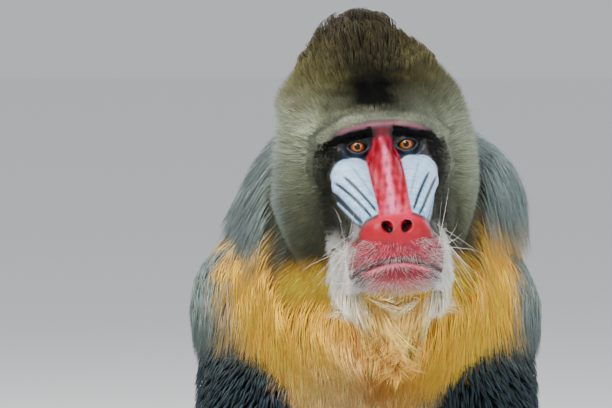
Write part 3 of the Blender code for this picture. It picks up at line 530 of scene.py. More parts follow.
def surface_quads(values, axes):
    """Points and quads of the surface where the grid's values change sign, one point to each cell."""
    outside = values > 0
    cubes = np.array(values.shape) - 1
    corners = np.array([(i, j, k) for i in (0, 1) for j in (0, 1) for k in (0, 1)])
    total = sum(outside[i:i + cubes[0], j:j + cubes[1], k:k + cubes[2]].astype(np.int8) for i, j, k in corners)
    mixed = np.argwhere((total > 0) & (total < 8))
    index = -np.ones(cubes, np.int64)
    index[tuple(mixed.T)] = np.arange(len(mixed))
    place, count = np.zeros((len(mixed), 3)), np.zeros(len(mixed))
    for corner in corners:
        for axis in range(3):
            if corner[axis]:
                continue
            other = corner.copy()
            other[axis] = 1
            a, b = values[tuple((mixed + corner).T)], values[tuple((mixed + other).T)]
            crossed = (a > 0) != (b > 0)
            where = np.repeat(corner[None].astype(float), crossed.sum(), 0)
            where[:, axis] = a[crossed] / (a[crossed] - b[crossed])
            place[crossed] += where
            count[crossed] += 1
    place /= count[:, None]
    points = np.stack([axes[i][mixed[:, i]] * (1 - place[:, i]) + axes[i][mixed[:, i] + 1] * place[:, i] for i in range(3)], -1)
    quads = []
    for axis in range(3):
        u, v = np.eye(3, dtype=int)[(axis + 1) % 3], np.eye(3, dtype=int)[(axis + 2) % 3]
        first, second = [slice(None)] * 3, [slice(None)] * 3
        first[axis], second[axis] = slice(0, -1), slice(1, None)
        hit = np.argwhere(outside[tuple(first)] != outside[tuple(second)])
        quad = np.stack([index[tuple((hit - back).T)] for back in (u + v, v, 0 * u, u)], 1)
        rising = ~outside[tuple(hit.T)]
        quad[~rising] = quad[~rising][:, ::-1]
        quads.append(quad)
    return points, np.concatenate(quads)


def linked(name, points, loops, totals, smooth=True):
    """A mesh object from flat arrays, moved into the row's frame."""
    mesh = bpy.data.meshes.new(name)
    points = np.asarray(points, np.float64) + SHIFT
    mesh.vertices.add(len(points))
    mesh.vertices.foreach_set("co", points.astype(np.float32).ravel())
    mesh.loops.add(len(loops))
    mesh.loops.foreach_set("vertex_index", np.asarray(loops, np.int32).ravel())
    mesh.polygons.add(len(totals))
    starts = np.concatenate([[0], np.cumsum(totals)[:-1]]).astype(np.int32)
    mesh.polygons.foreach_set("loop_start", starts)
    mesh.polygons.foreach_set("loop_total", np.asarray(totals, np.int32))
    mesh.polygons.foreach_set("use_smooth", np.full(len(totals), smooth))
    mesh.update(calc_edges=True)
    made = bpy.data.objects.new(name, mesh)
    bpy.context.scene.collection.objects.link(made)
    return made


def paint(obj, colours):
    """The colour of each point, linear."""
    layer = obj.data.color_attributes.new("Col", "FLOAT_COLOR", "POINT")
    values = np.ones((len(colours), 4), np.float32)
    values[:, :3] = np.clip(colours, 0.0, 1.0)
    layer.data.foreach_set("color", values.ravel())


# ---------------------------------------------------------------- markings
def lin(r, g, b):
    c = np.array([r, g, b], float) / 255.0
    return np.where(c <= 0.04045, c / 12.92, ((c + 0.055) / 1.055) ** 2.4)


def over(base, colour, mask):
    return base + (np.asarray(colour) - base) * np.clip(mask, 0, 1)[..., None]


def ripple(p, size, seed=0.0):
    """Smooth noise between about -1 and 1, the sum of a few waves."""
    q = p / size
    out = 0.0
    for i in range(4):
        a = seed * 1.7 + i * 2.4
        k = np.array([math.cos(a) * math.cos(i + seed), math.sin(a), math.cos(a) * math.sin(i + seed)]) * (1.0 + 0.45 * i)
        out = out + np.sin(q @ k * 2 * np.pi + i * 1.3 + seed * 5.1)
    return out / 2.6


def fur_colour(p):
    """The colour of the coat, linear, at a point of the skin."""
    x, f, z = to_head(p)
    wx, wy, wz = p[..., 0], p[..., 1], p[..., 2]
    ax = np.abs(x)
    wob = ripple(p, 0.05, 1.0)
    soft = ripple(p, 0.021, 5.0)
    m = mirrored(p)
    c = np.zeros(p.shape) + lin(92, 92, 68)                                              # olive back
    front = step(-wy, -0.03, 0.04)
    arm = near(np.minimum(bone(m, SHOULDER, ELBOW, 0.055, 0.04), bone(m, ELBOW, WRIST, 0.042, 0.03)), 0.022)
    c = over(c, lin(122, 136, 134), step(wz + 0.016 * soft + 0.012 * wob, 0.28, 0.50))                                 # mane and shoulders
    c = over(c, lin(46, 58, 64), arm * (1 - step(wz + 0.012 * soft, 0.37, 0.50)))
    leg = near(np.minimum(bone(m, HIP, KNEE, 0.080, 0.055), bone(m, KNEE, ANKLE, 0.050, 0.032)), 0.02)
    c = over(c, lin(92, 92, 72), leg * 0.8)
    belly = bump(wx, 0, 0.09) * step(-wy, -0.03, 0.03) * (1 - step(wz, 0.28, 0.36)) * (1 - arm)
    c = over(c, lin(170, 164, 146), belly)
    # the golden shield of the chest, from the sides of the neck down to a point
    t = step(wz, 0.36, 0.47)
    west, east = -0.074 - 0.040 * t + 0.010 * wob, 0.048 + 0.076 * t + 0.010 * wob
    shield = front * step(wx - west, -0.008, 0.016) * step(east - wx, -0.008, 0.016) * step(wz, 0.335, 0.375) * (1 - step(wz, 0.508 + 0.025 * step(wx, 0, 0.08), 0.540 + 0.025 * step(wx, 0, 0.08)))
    gold = over(np.zeros(p.shape) + lin(255, 196, 66), lin(226, 184, 118), 1 - step(wz, 0.36, 0.43))
    gold = over(gold, lin(232, 206, 154), bump(wx, -0.02, 0.05) * (1 - step(wz, 0.42, 0.47)) * 0.6)
    # painted shade: the chest hair under and around the beard is darkened to brown, as if shaded by it
    gold = over(gold, lin(176, 104, 30), bump(x, 0.0, 34.0) * step(-z, 112, 136) * (1 - step(-z, 176, 215)) * 0.75)
    c = over(c, gold, shield)
    c = over(c, lin(60, 62, 62), front * (1 - step(wz, 0.345, 0.395)) * step(wz, 0.25, 0.30) * 0.6 * (1 - arm))
    cheek = over(np.zeros(p.shape) + lin(132, 137, 112), lin(76, 78, 58), (1 - step(z + 4 * soft, -80, -16)) * 0.95)
    cheek = over(cheek, lin(60, 60, 46), (1 - step(z + 4 * soft, -108, -66)) * 0.8)
    cheek = over(cheek, lin(170, 180, 156), bump(z, 4.0, 26.0) * bump(ax, 62.0, 20.0) * 0.55)
    cheek = over(cheek, lin(126, 144, 150), step(ax, 68, 94) * 0.85)
    cheek = over(cheek, lin(92, 88, 54), step(z + 5 * soft, 18, 58))
    cheek = over(cheek, lin(58, 52, 31), step(z + 5 * soft - 0.25 * ax, 36, 74))
    cheek = over(cheek, lin(50, 44, 34), step(z + 3 * soft, 72, 104) * 0.9)
    cheek = over(cheek, lin(88, 90, 66), step(-f, 95, 130))
    cheek = over(cheek, lin(14, 14, 12), np.clip(1.25 * bump(x + 4 * soft, -4, 21 + 0.10 * z), 0, 1) * step(z + 2 * soft, 24, 34) * (1 - 0.75 * step(z + 4 * soft, 48, 88)) * step(f, -74, -34))
    cheek = over(cheek, lin(158, 162, 148), bump(z, 24.6 - 0.0030 * ax ** 2, 2.2) * (1 - step(ax, 36, 50)) * step(f, -34, -10) * 0.6)
    # painted shade: a dark band in the crease where the cheek hair meets the side of the muzzle
    rim = np.sqrt((x / 54.0) ** 2 + ((z + 42.0) / 92.0) ** 2)
    cheek = over(cheek, lin(40, 40, 32), bump(rim, 0.88, 0.20) * step(-z, -12, 14) * (1 - step(-z, 70, 90)) * 0.85)
    c = over(c, cheek, on_head(p) * (1 - shield * (1 - step(z, -104, -86))))
    golden = over(np.zeros(p.shape) + lin(255, 206, 112), lin(196, 122, 30), step(-z, 146, 178) * (0.7 + 0.3 * wob))
    golden = over(golden, lin(252, 244, 214), step(ax, 24, 40) * 0.85)
    golden = over(golden, lin(240, 226, 196), 1 - step(-z, 122, 138))
    c = over(c, golden, on_chin(p))
    c = over(c, lin(252, 250, 234), beside(x, f, z) * on_head(p) * (1 - 0.45 * step(-z, 130, 165)))
    c = over(c, lin(52, 50, 46), 1 - step(wz, 0.055, 0.10))
    return c * (1.0 + 0.10 * ripple(p, 0.013, 2.0))[..., None]


def bareness(p):
    """1 where the skin is naked: the face, the ears, the palms and soles, and the seat."""
    x, f, z = to_head(p)
    ax = np.abs(x)
    back = 2.0 + 30.0 * step(-z, 50, 110)
    face = step(f, back - 7, back + 6) * (1 - step(z, 20 - 0.0036 * ax ** 2, 24 - 0.0036 * ax ** 2)) * step(z, -131, -121) * (1 - step(ax, 49, 57)) * step(p[..., 2], 0.40, 0.44)
    seen = np.maximum.reduce([1 - step(np.sqrt(((ax - 23) / 27.0) ** 2 + ((z + 1) / 15.5) ** 2), 0.9, 1.2), 1 - step(ax, 14, 19), 1 - step(ridge(x, f, z), 1.6, 4.5), step(f, 66, 76), (1 - step(z, -92, -84)) * (1 - step(ax, 40, 45)), bump(z, 13.0 - 0.0040 * ax ** 2, 9.0) * (1 - step(ax, 40, 52))])
    face = face * np.clip(seen * 1.2, 0, 1)
    ears = near(ear(x * 1.05, f + 4.0, z) / 1000.0, 0.003) * step(ax, 66, 72)
    ends = 1 - step(p[..., 2], 0.040, 0.062)
    m = mirrored(p)
    hands = near(np.minimum(hand_skin(m), foot_skin(m)), 0.012) * ends
    seat = step(p[..., 1], 0.145, 0.190) * (1 - step(np.sqrt((p[..., 0] / 0.084) ** 2 + ((p[..., 2] - 0.085) / 0.095) ** 2) + 0.05 * ripple(p, 0.02, 8.0), 0.80, 1.06))
    return np.clip(np.maximum.reduce([face, ears, hands, seat]), 0, 1)


def face_colour(x, f, z):
    ax = np.abs(x)
    q = np.stack([x, f, z], -1) / 1000.0
    streak = ripple(np.stack([x / 2.6, f / 60.0, z / 60.0], -1), 1.0, 3.0)
    mottle = ripple(q, 0.009, 4.0)
    c = np.zeros(q.shape) + lin(44, 41, 38)
    eyes = np.sqrt(((ax - 24) / 27.0) ** 2 + ((z + 1) / 16.0) ** 2)
    c = over(c, lin(8, 11, 16), (1 - step(eyes, 0.80, 1.2)) * step(f, -12, 2))
    c = over(c, lin(36, 46, 62), bump(z, -11.0 + 0.020 * (ax - 22) ** 2, 1.8) * step(ax, 9, 14) * (1 - step(ax, 34, 40)) * 0.7)
    c = over(c, lin(58, 68, 84), bump(slit(x, z), 1.3, 0.8) * (z < 0) * 0.6)
    swell = 1 - step(ridge(x, f, z), 0.8, 3.0)
    wide = 8.8 + 6.4 * step(-z, -2, 13) - 1.2 * step(-z, 30, 50) + 1.0 * step(-z, 52, 66)
    blue = over(np.zeros(q.shape) + lin(132, 186, 228), lin(160, 200, 240), step(z, -46, -22))
    blue = over(blue, lin(100, 164, 206), 1 - step(z, -64, -48))
    blue = over(blue, lin(206, 226, 244), 0.30 * (1 + mottle))
    # painted shade: the grooves between the blue ridges are painted nearly black
    blue = over(blue, lin(8, 16, 32), np.clip(furrow(x, z, 1.2) / 0.85 - 0.08, 0, 1) * 0.98)
    low = -72.0 + 3.0 * step(ax, 20, 34)
    c = over(c, blue, swell * step(ax, wide - 0.8, wide + 0.8) * step(z, low, low + 5) * (1 - step(z, -15 + 0.16 * ax, -10 + 0.16 * ax)) * step(f, -6, 6))
    red = over(np.zeros(q.shape) + lin(142, 0, 22), lin(170, 0, 34), step(-z, 4, 40))
    red = over(red, lin(214, 34, 74), step(-z, 48, 64))
    # painted highlight: a pale pink stripe along the top of the nose bridge
    red = over(red, lin(246, 132, 172), bump(x, 0.6 + 0.03 * z, 2.6 + 4.0 * step(-z, 36, 64)) * step(-z, -6, 8) * 0.85)
    red = over(red, lin(228, 84, 124), np.clip(streak, 0, 1) * 0.34)
    red = over(red, lin(104, 0, 16), np.clip(-streak, 0, 1) * 0.65)
    red = over(red, lin(70, 4, 18), step(z, 3, 10) * 0.9)
    c = over(c, red, (1 - step(ax, wide - 0.9, wide + 0.9)) * (1 - step(z, 14, 18)) * step(f, -6, 2))
    nose = np.sqrt((x / 31.0) ** 2 + ((z + 78.0) / 18.5) ** 2)
    c = over(c, over(np.zeros(q.shape) + lin(150, 0, 26), lin(206, 34, 70), step(z, -72, -58)), (1 - step(nose, 0.88, 1.10)) * step(f, 76, 86))
    lip = step(f, 44, 60) * (1 - step(z, -88, -78)) * (1 - step(ax, 40, 47))
    c = over(c, over(np.zeros(q.shape) + lin(160, 16, 46), lin(96, 14, 32), 0.5 + 0.5 * mottle), lip * 0.95)
    mouth = mouth_height(x, f)
    c = over(c, lin(96, 22, 36), bump(z, mouth + 3.0, 3.0) * step(f, 50, 66) * 0.6)
    under = step(mouth - z, 1.0, 3.0) * step(f, 26, 42)
    c = over(c, lin(46, 44, 46), under * 0.95)
    c = over(c, over(np.zeros(q.shape) + lin(104, 14, 28), lin(140, 70, 74), step(-z, 113, 122)), under * (1 - step(ax, 22, 34)))
    c = over(c, lin(190, 84, 100), bump(z, mouth - 3.6, 2.0) * step(f, 58, 72) * (1 - step(ax, 22, 34)))
    # painted shade: a dark line in the crease where the closed lips meet
    c = over(c, lin(30, 12, 16), bump(z, mouth, 1.5) * step(f, 30, 48) * 0.95)
    c = over(c, lin(150, 14, 34), bump(x, 0, 1.1) * step(f, 90, 98) * (1 - step(z, -82, -76)) * step(z, -99, -94) * 0.8)
    # painted shade: the inside of the nostrils is painted almost black
    nostril = rod(ax, f * 0 + 112, z, (10.4, 112, -68.5), (6.4, 112, -73.5), 2.7, 2.9)
    c = over(c, lin(14, 3, 5), (1 - step(nostril, -0.6, 0.8)) * step(f, 94, 102))
    c = over(c, lin(8, 8, 9), np.clip(1.5 * bump(z, 11.0 - 0.0034 * ax ** 2, 4.4), 0, 1) * step(ax, 3, 9) * (1 - step(ax, 43, 50)) * step(f, -16, -4) * 0.98)
    c = over(c, lin(122, 62, 84), bump(z, 19.2 - 0.0045 * ax ** 2, 2.0) * (1 - step(ax, 34, 44)) * step(f, -18, -4) * 0.9)
    return c * (1.0 + 0.07 * mottle)[..., None]


def skin_colour(p):
    x, f, z = to_head(p)
    # painted shade: the skin under the coat takes the coat's colour darkened to 0.42
    shaded_under_coat = fur_colour(p) * 0.42
    c = over(shaded_under_coat, face_colour(x, f, z), bareness(p) * step(p[..., 2], 0.40, 0.44))
    c = over(c, lin(92, 80, 74), near(ear(x * 1.05, f + 4.0, z) / 1000.0, 0.003) * step(np.abs(x), 66, 72))
    dark = (1 - step(p[..., 2], 0.050, 0.080)) * near(np.minimum(hand_skin(mirrored(p)), foot_skin(mirrored(p))), 0.01)
    c = over(c, lin(52, 46, 46) * (1 + 0.12 * ripple(p, 0.010, 6.0))[..., None], dark)
    seat = step(p[..., 1], 0.145, 0.190) * (1 - step(np.sqrt((p[..., 0] / 0.084) ** 2 + ((p[..., 2] - 0.085) / 0.095) ** 2) + 0.05 * ripple(p, 0.02, 8.0), 0.80, 1.06))
    tint = over(np.zeros(p.shape) + lin(150, 140, 204), lin(206, 92, 122), bump(p[..., 0], 0, 0.030))
    tint = over(tint, lin(110, 130, 200), step(np.abs(p[..., 0]), 0.050, 0.085) * 0.7)
    return over(c, tint, seat)


# ---------------------------------------------------------------- lie of the coat
def unit(v):
    return v / np.maximum(np.linalg.norm(v, axis=-1, keepdims=True), 1e-9)


def lie(p):
    """The way the hair points, before it is laid on the skin."""
    x, f, z = to_head(p)
    wx, wy, wz = p[..., 0], p[..., 1], p[..., 2]
    m = mirrored(p)
    s = np.sign(wx) + (wx == 0)

    def turned(v):
        return np.stack([v[0] * s, v[1] + 0 * s, v[2] + 0 * s], -1)

    d = np.stack([0.5 * wx, 0.25 + 0.3 * step(wy, 0.0, 0.1), -1.0 + 0 * wx], -1)
    front = step(-wy, -0.02, 0.05) * step(wz, 0.28, 0.34)
    d = over(d, np.stack([1.2 * wx, -0.15 + 0 * wx, -1.0 + 0 * wx], -1), front)
    arm_up = near(bone(m, SHOULDER, ELBOW, 0.055, 0.04), 0.022)[..., None] * (1 - step(wz, 0.40, 0.47))[..., None]
    d = d * (1 - arm_up) + unit(turned(np.subtract(ELBOW, SHOULDER) + np.array([0.03, 0.05, 0]))) * arm_up
    arm_low = near(bone(m, ELBOW, WRIST, 0.042, 0.03), 0.020)[..., None] * (1 - step(wz, 0.22, 0.26))[..., None]
    d = d * (1 - arm_low) + unit(turned(np.subtract(WRIST, ELBOW) + np.array([0.05, 0.03, 0]))) * arm_low
    thigh = near(bone(m, HIP, KNEE, 0.080, 0.055), 0.02)[..., None] * (1 - step(wz, 0.26, 0.34))[..., None]
    d = d * (1 - thigh) + unit(turned(np.array([0.5, -0.45, -0.25]))) * thigh
    shank = near(bone(m, KNEE, ANKLE, 0.050, 0.032), 0.016)[..., None] * (1 - step(wz, 0.24, 0.29))[..., None]
    d = d * (1 - shank) + unit(turned(np.subtract(ANKLE, KNEE) + np.array([0.02, 0.04, 0]))) * shank
    tail = near(tail_skin(p), 0.012)[..., None]
    d = d * (1 - tail) + unit(np.array([0, 0.5, 0.8])) * tail
    # the head: outwards from the face and backwards, upwards to the crest, downwards on the lower cheeks
    up = step(z, 20, 60)
    hx = x / 62.0 * (1 - 0.5 * up)
    hz = (z + 22.0) / 78.0 + 0.9 * up - 0.35 * step(-z, 40, 110)
    hf = -0.95 - 0.25 * step(-f, 10, 80) + 0.35 * up
    h = unit(np.stack([hx, -hf, hz], -1)) @ HEAD_ROT.T
    back = step(-f, 88, 125)[..., None]
    h = h * (1 - back) + unit(np.stack([0.3 * wx, 0.35 + 0 * wx, -1.0 + 0 * wx], -1)) * back
    head = on_head(p)[..., None]
    d = d * (1 - head) + h * head
    down = (beside(x, f, z) * on_head(p))[..., None]
    d = d * (1 - down) + (unit(np.stack([0.55 * np.sign(x), 0.25 + 0 * x, -0.9 + 0 * x], -1)) @ HEAD_ROT.T) * down
    chin = on_chin(p)[..., None]
    b = unit(np.stack([0.10 * x / 30.0, -0.10 + 0 * x, -1.0 + 0 * x], -1)) @ HEAD_ROT.T
    d = d * (1 - chin) + b * chin
    return unit(d)


def hair_length(p):
    """Length of the tufts, in metres."""
    x, f, z = to_head(p)
    wz = p[..., 2]
    m = mirrored(p)
    length = 0.036 + 0.026 * step(wz, 0.38, 0.47)
    front = step(-p[..., 1], -0.02, 0.05) * step(wz, 0.30, 0.40)
    length = length + 0.010 * front
    arm = near(np.minimum(bone(m, SHOULDER, ELBOW, 0.055, 0.04), bone(m, ELBOW, WRIST, 0.042, 0.03)), 0.022) * (1 - step(wz, 0.40, 0.48))
    length = length + (0.030 - length) * arm
    low = 1 - step(wz, 0.06, 0.22)
    length = length * (1 - 0.45 * low)
    length = length * (0.35 + 0.65 * step(wz, 0.045, 0.10))
    r = np.sqrt((x / 56.0) ** 2 + ((z + 22.0) / 84.0) ** 2)
    own = 0.0075 + 0.0110 * step(r, 0.75, 1.45) + 0.018 * step(z, 62, 92) + 0.008 * step(-z, 70, 110) + 0.012 * step(-f, 60, 110)
    own = own + (0.006 - own) * step(z, 8, 14) * (1 - step(z, 24, 34)) * step(f, -34, -16)
    own = own + (0.025 - own) * beside(x, f, z)
    length = length + (own - length) * on_head(p)
    length = length + (0.030 + 0.014 * step(-z, 130, 160) - length) * on_chin(p)
    return length + (0.018 - length) * near(tail_skin(p), 0.012)


def hair_width(p):
    """Width of the tufts at their widest, in metres: fine on the face, coarse on the back."""
    x, f, z = to_head(p)
    wide = 0.0024 - 0.0008 * step(p[..., 2], 0.34, 0.42) - 0.0005 * step(-p[..., 1], -0.04, 0.04)
    r = np.sqrt((x / 56.0) ** 2 + ((z + 22.0) / 84.0) ** 2)
    own = 0.00066 + 0.00022 * step(r, 0.9, 1.5) + 0.0004 * step(-f, 70, 110) + 0.0003 * step(z, 60, 90)
    wide = wide + (own - wide) * on_head(p)
    wide = wide + (0.0010 - wide) * on_chin(p)
    return wide


# ---------------------------------------------------------------- tufts
RING = {1: (0.0,), 2: (0.0, 0.52), 3: (0.0, 0.36, 0.72)}


def spread(points, quads, weight, count, rng):
    """Roots spread evenly over the faces by weight: position, and the mean of the corners' normals."""
    total = np.cumsum(weight)
    at = np.searchsorted(total, (np.arange(count) + rng.random(count)) / count * total[-1])
    corners = quads[np.clip(at, 0, len(quads) - 1)]
    a, b = rng.random((2, count))
    share = np.stack([(1 - a) * (1 - b), a * (1 - b), a * b, (1 - a) * b], 1)
    p = (points[corners] * share[..., None]).sum(1)
    n = unit((NORMALS[corners] * share[..., None]).sum(1))
    return p, n


def charts(p, n):
    """A place for each root on an unwrap of the skin: six flat views of its own faces, side by side."""
    uv = np.zeros((len(p), 2))
    main = np.abs(n).argmax(1)
    sign = n[np.arange(len(n)), main] > 0
    for axis in range(3):
        for way in (False, True):
            own = (main == axis) & (sign == way)
            if not own.any():
                continue
            q = p[own][:, [k for k in range(3) if k != axis]]
            low, size = q.min(0), np.maximum(np.ptp(q, axis=0), 1e-4)
            cell = (q - low) / size.max() * 0.94 + 0.02
            uv[own] = (cell + [axis, float(way)]) / [3.0, 2.0]
    return uv


def grow(name, p, n, rng, length, width, parts, colour, swirl=0.20, clump=0.011, pull=0.45, root_shade_tip_light=(0.42, 0.9, 1.12), toward=None, rise=1.0, stay=0.0015, speckle=0.16, curl=0.05, stand=0.0, uneven=0.0):
    """Tufts from the roots p, each a thin closed blade of three sides that tapers to a point."""
    count = len(p)
    rings = RING[parts]
    d = lie(p) if toward is None else toward
    d = d + swirl * np.stack([ripple(p, 0.030, 7.0 + k) for k in range(3)], -1) + 0.09 * rng.normal(size=(count, 3))
    d = unit(d - n * (d * n).sum(-1, keepdims=True))
    depth = np.clip(-whole(p), 0.0012, 0.060)
    length = length * (0.78 + 0.42 * rng.random(count))
    height = depth * (0.84 + 0.34 * rng.random(count)) * rise + stand * length
    reach = np.sqrt(np.maximum(length ** 2 - height ** 2, (np.where(np.asarray(stand) > 0.05, 0.16, 0.40) * length) ** 2))
    side = unit(np.cross(d, n))
    bend = rng.normal(size=count) * curl * length
    places = []
    for s in rings + (1.0,):
        q = p - n * 0.0012 + d * (reach * s)[:, None] + n * (height * (1.90 * s - 0.90 * s * s))[:, None] + side * (bend * s * s)[:, None]
        if s > 0:
            q = q - n * np.maximum(whole(q) - stay, 0)[:, None]
            q = q + n * np.maximum(0.0010 - skin(q), 0)[:, None]
        places.append(q)
    if clump:
        key = np.floor(p / clump + 0.35 * np.stack([ripple(p, 0.02, 11.0 + k) for k in range(3)], -1)).astype(np.int64)
        _, group = np.unique(key @ np.array([1, 4001, 16008001]), return_inverse=True)
        group = group.reshape(-1)
        number = np.bincount(group)
        for k, s in enumerate(rings + (1.0,)):
            if s > 0:
                mean = np.stack([np.bincount(group, places[k][:, i]) / number for i in range(3)], -1)[group]
                places[k] = places[k] + (mean - places[k]) * pull * s ** 1.5
        if uneven:
            more = (uneven * (2 * rng.random(group.max() + 1) - 1))[group][:, None]
            for k, s in enumerate(rings + (1.0,)):
                places[k] = places[k] + (places[k] - p) * more * s
    width = width * (0.8 + 0.4 * rng.random(count))
    each = 3 * parts + 1
    verts = np.zeros((count, each, 3))
    shade = np.zeros((count, each, 3))
    fit = {0.0: 0.8, 0.36: 1.0, 0.52: 0.85, 0.72: 0.62}
    tone = np.exp(np.clip(speckle * rng.normal(size=count), -0.9, 0.7))[:, None]
    colour = colour * tone * (1 + 0.06 * rng.normal(size=(count, 3)))
    # painted shade and light along each tuft: darker at the root, deep in the coat, and brighter towards the tip
    light = np.interp(rings + (1.0,), (0.0, 0.5, 1.0), root_shade_tip_light)
    for k, s in enumerate(rings):
        w = (width * fit[s])[:, None]
        after = places[k + 1] - places[k]
        t = unit(after)
        across = unit(np.cross(t, n))
        up = unit(np.cross(across, t))
        verts[:, 3 * k] = places[k] - across * w * 0.5
        verts[:, 3 * k + 1] = places[k] + across * w * 0.5
        verts[:, 3 * k + 2] = places[k] + up * w * 0.42
        shade[:, 3 * k:3 * k + 3] = (colour * light[k])[:, None]
    verts[:, -1] = places[-1]
    verts[..., 2] = np.maximum(verts[..., 2], 0.0006)
    shade[:, -1] = colour * light[-1]
    faces, totals = [], []
    for k in range(parts - 1):
        for i in range(3):
            j = (i + 1) % 3
            faces += [3 * k + i, 3 * k + j, 3 * k + 3 + j, 3 * k + 3 + i]
            totals.append(4)
    for i in range(3):
        faces += [3 * (parts - 1) + i, 3 * (parts - 1) + (i + 1) % 3, each - 1]
        totals.append(3)
    faces = np.array(faces)
    loops = (np.arange(count)[:, None] * each + faces).ravel()
    made = linked(name, verts.reshape(-1, 3), loops, np.tile(totals, count))
    paint(made, shade.reshape(-1, 3))
    root = charts(p, n)
    patch = np.zeros((count, each, 2))
    for k, s in enumerate(rings):
        for i, u in enumerate((0.0, 0.003, 0.0015)):
            patch[:, 3 * k + i] = root + [u, 0.003 * s]
    patch[:, -1] = root + [0.0015, 0.003]
    layer = made.data.uv_layers.new(name="OFBake")
    layer.data.foreach_set("uv", patch.reshape(-1, 2)[loops].astype(np.float32).ravel())
    made.data.materials.append(COAT)
    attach(made, "root")
    print("piece", name, count, "tufts", (sum(totals) - 2 * len(totals)) * count, "triangles")
    return made


# ---------------------------------------------------------------- materials
def material(name, rough, specular=0.5, coat=0.0, coat_rough=0.05, sheen=0.0, under=0.0):
    made = bpy.data.materials.new(name)
    made.use_nodes = True
    tree = made.node_tree
    shader = tree.nodes["Principled BSDF"]
    shader.inputs["Roughness"].default_value = rough
    shader.inputs["Specular IOR Level"].default_value = specular
    shader.inputs["Coat Weight"].default_value = coat
    shader.inputs["Coat Roughness"].default_value = coat_rough
    shader.inputs["Sheen Weight"].default_value = sheen
    if under:
        shader.inputs["Subsurface Weight"].default_value = under
        shader.inputs["Subsurface Radius"].default_value = (1.0, 0.35, 0.2)
        shader.inputs["Subsurface Scale"].default_value = 0.003
    colour = tree.nodes.new("ShaderNodeAttribute")
    colour.attribute_name = "Col"
    tree.links.new(colour.outputs["Color"], shader.inputs["Base Color"])
    return made


def bumped(made, layers):
    """Fine relief from noise: each layer is (scale per metre, stretch along the head's x, y and z, height in metres)."""
    tree = made.node_tree
    place = tree.nodes.new("ShaderNodeTexCoord")
    shader = tree.nodes["Principled BSDF"]
    last = None
    for scale, stretch, height in layers:
        mapping = tree.nodes.new("ShaderNodeMapping")
        mapping.inputs["Scale"].default_value = stretch
        noise = tree.nodes.new("ShaderNodeTexNoise")
        noise.inputs["Scale"].default_value = scale
        noise.inputs["Detail"].default_value = 4.0
        relief = tree.nodes.new("ShaderNodeBump")
        relief.inputs["Distance"].default_value = height
        tree.links.new(place.outputs["Object"], mapping.inputs["Vector"])
        tree.links.new(mapping.outputs["Vector"], noise.inputs["Vector"])
        tree.links.new(noise.outputs["Fac"], relief.inputs["Height"])
        if last:
            tree.links.new(last.outputs["Normal"], relief.inputs["Normal"])
        last = relief
    tree.links.new(last.outputs["Normal"], shader.inputs["Normal"])
    return made


# ---------------------------------------------------------------- build
boxes = [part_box("eye_left"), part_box("eye_right")]
between = sum(np.array(side, float).mean(0) for side in boxes) / 2
SHIFT = np.array([between[0] - EYE[0], between[1] - EYE[1], 0.0])

COAT = material("coat", 0.60, specular=0.16)
HIDE = bumped(material("hide", 0.80, specular=0.08), [(240.0, (1, 1, 1), 0.0006)])
FACE = bumped(material("face_skin", 0.45, specular=0.28, under=0.04), [(420.0, (1, 0.25, 0.25), 0.0005), (900.0, (1, 1, 1), 0.00015)])
PALM = bumped(material("palm_skin", 0.55, specular=0.4), [(350.0, (1, 1, 1), 0.0007)])
SEAT = bumped(material("seat_skin", 0.42, specular=0.5, under=0.05), [(200.0, (1, 1, 1), 0.0006)])
EYEBALL = material("eyeball", 0.30, specular=0.2, coat=0.45, coat_rough=0.02)
NAIL = material("nail", 0.35, specular=0.5)

big, fine = ((0.004, 0.00115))
axes = [
    marks(-0.31, 0.31, EYE[0] - 0.058, EYE[0] + 0.066, fine, big),
    marks(-0.41, 0.32, -0.338, -0.176, fine * 1.5, big),
    marks(-0.03, 0.76, 0.462, 0.632, fine, big),
]
POINTS, QUADS = surface_quads(sampled(skin, axes), axes)
NORMALS = normals_of(POINTS, QUADS)
POINTS = POINTS - NORMALS * np.clip(skin(POINTS), -0.0015, 0.0015)[:, None] * 0.8
NORMALS = normals_of(POINTS, QUADS)
print("skin", len(POINTS), "points")

hide = linked("skin", POINTS, QUADS.ravel(), np.full(len(QUADS), 4))
paint(hide, skin_colour(POINTS))
for made in (HIDE, FACE, PALM, SEAT):
    hide.data.materials.append(made)
CENTRES = POINTS[QUADS].mean(1)
naked = bareness(POINTS)
kind = np.zeros(len(QUADS), np.int32)
naked_face = naked[QUADS].mean(1)
kind[(naked_face > 0.4) & (CENTRES[:, 2] > 0.40)] = 1
kind[(naked_face > 0.4) & (CENTRES[:, 2] < 0.10) & (CENTRES[:, 1] < 0.12)] = 2
kind[(naked_face > 0.4) & (CENTRES[:, 1] > 0.12)] = 3
hide.data.polygons.foreach_set("material_index", kind)
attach(hide, "root")
KINDS = ("upper_arm", "forearm", "hand", "thigh", "shank", "foot", "ear")
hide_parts("head", "muzzle", "lower_jaw", "neck", "chest", "belly", "pelvis", "tail", *[k + s for k in KINDS for s in ("_left", "_right")])

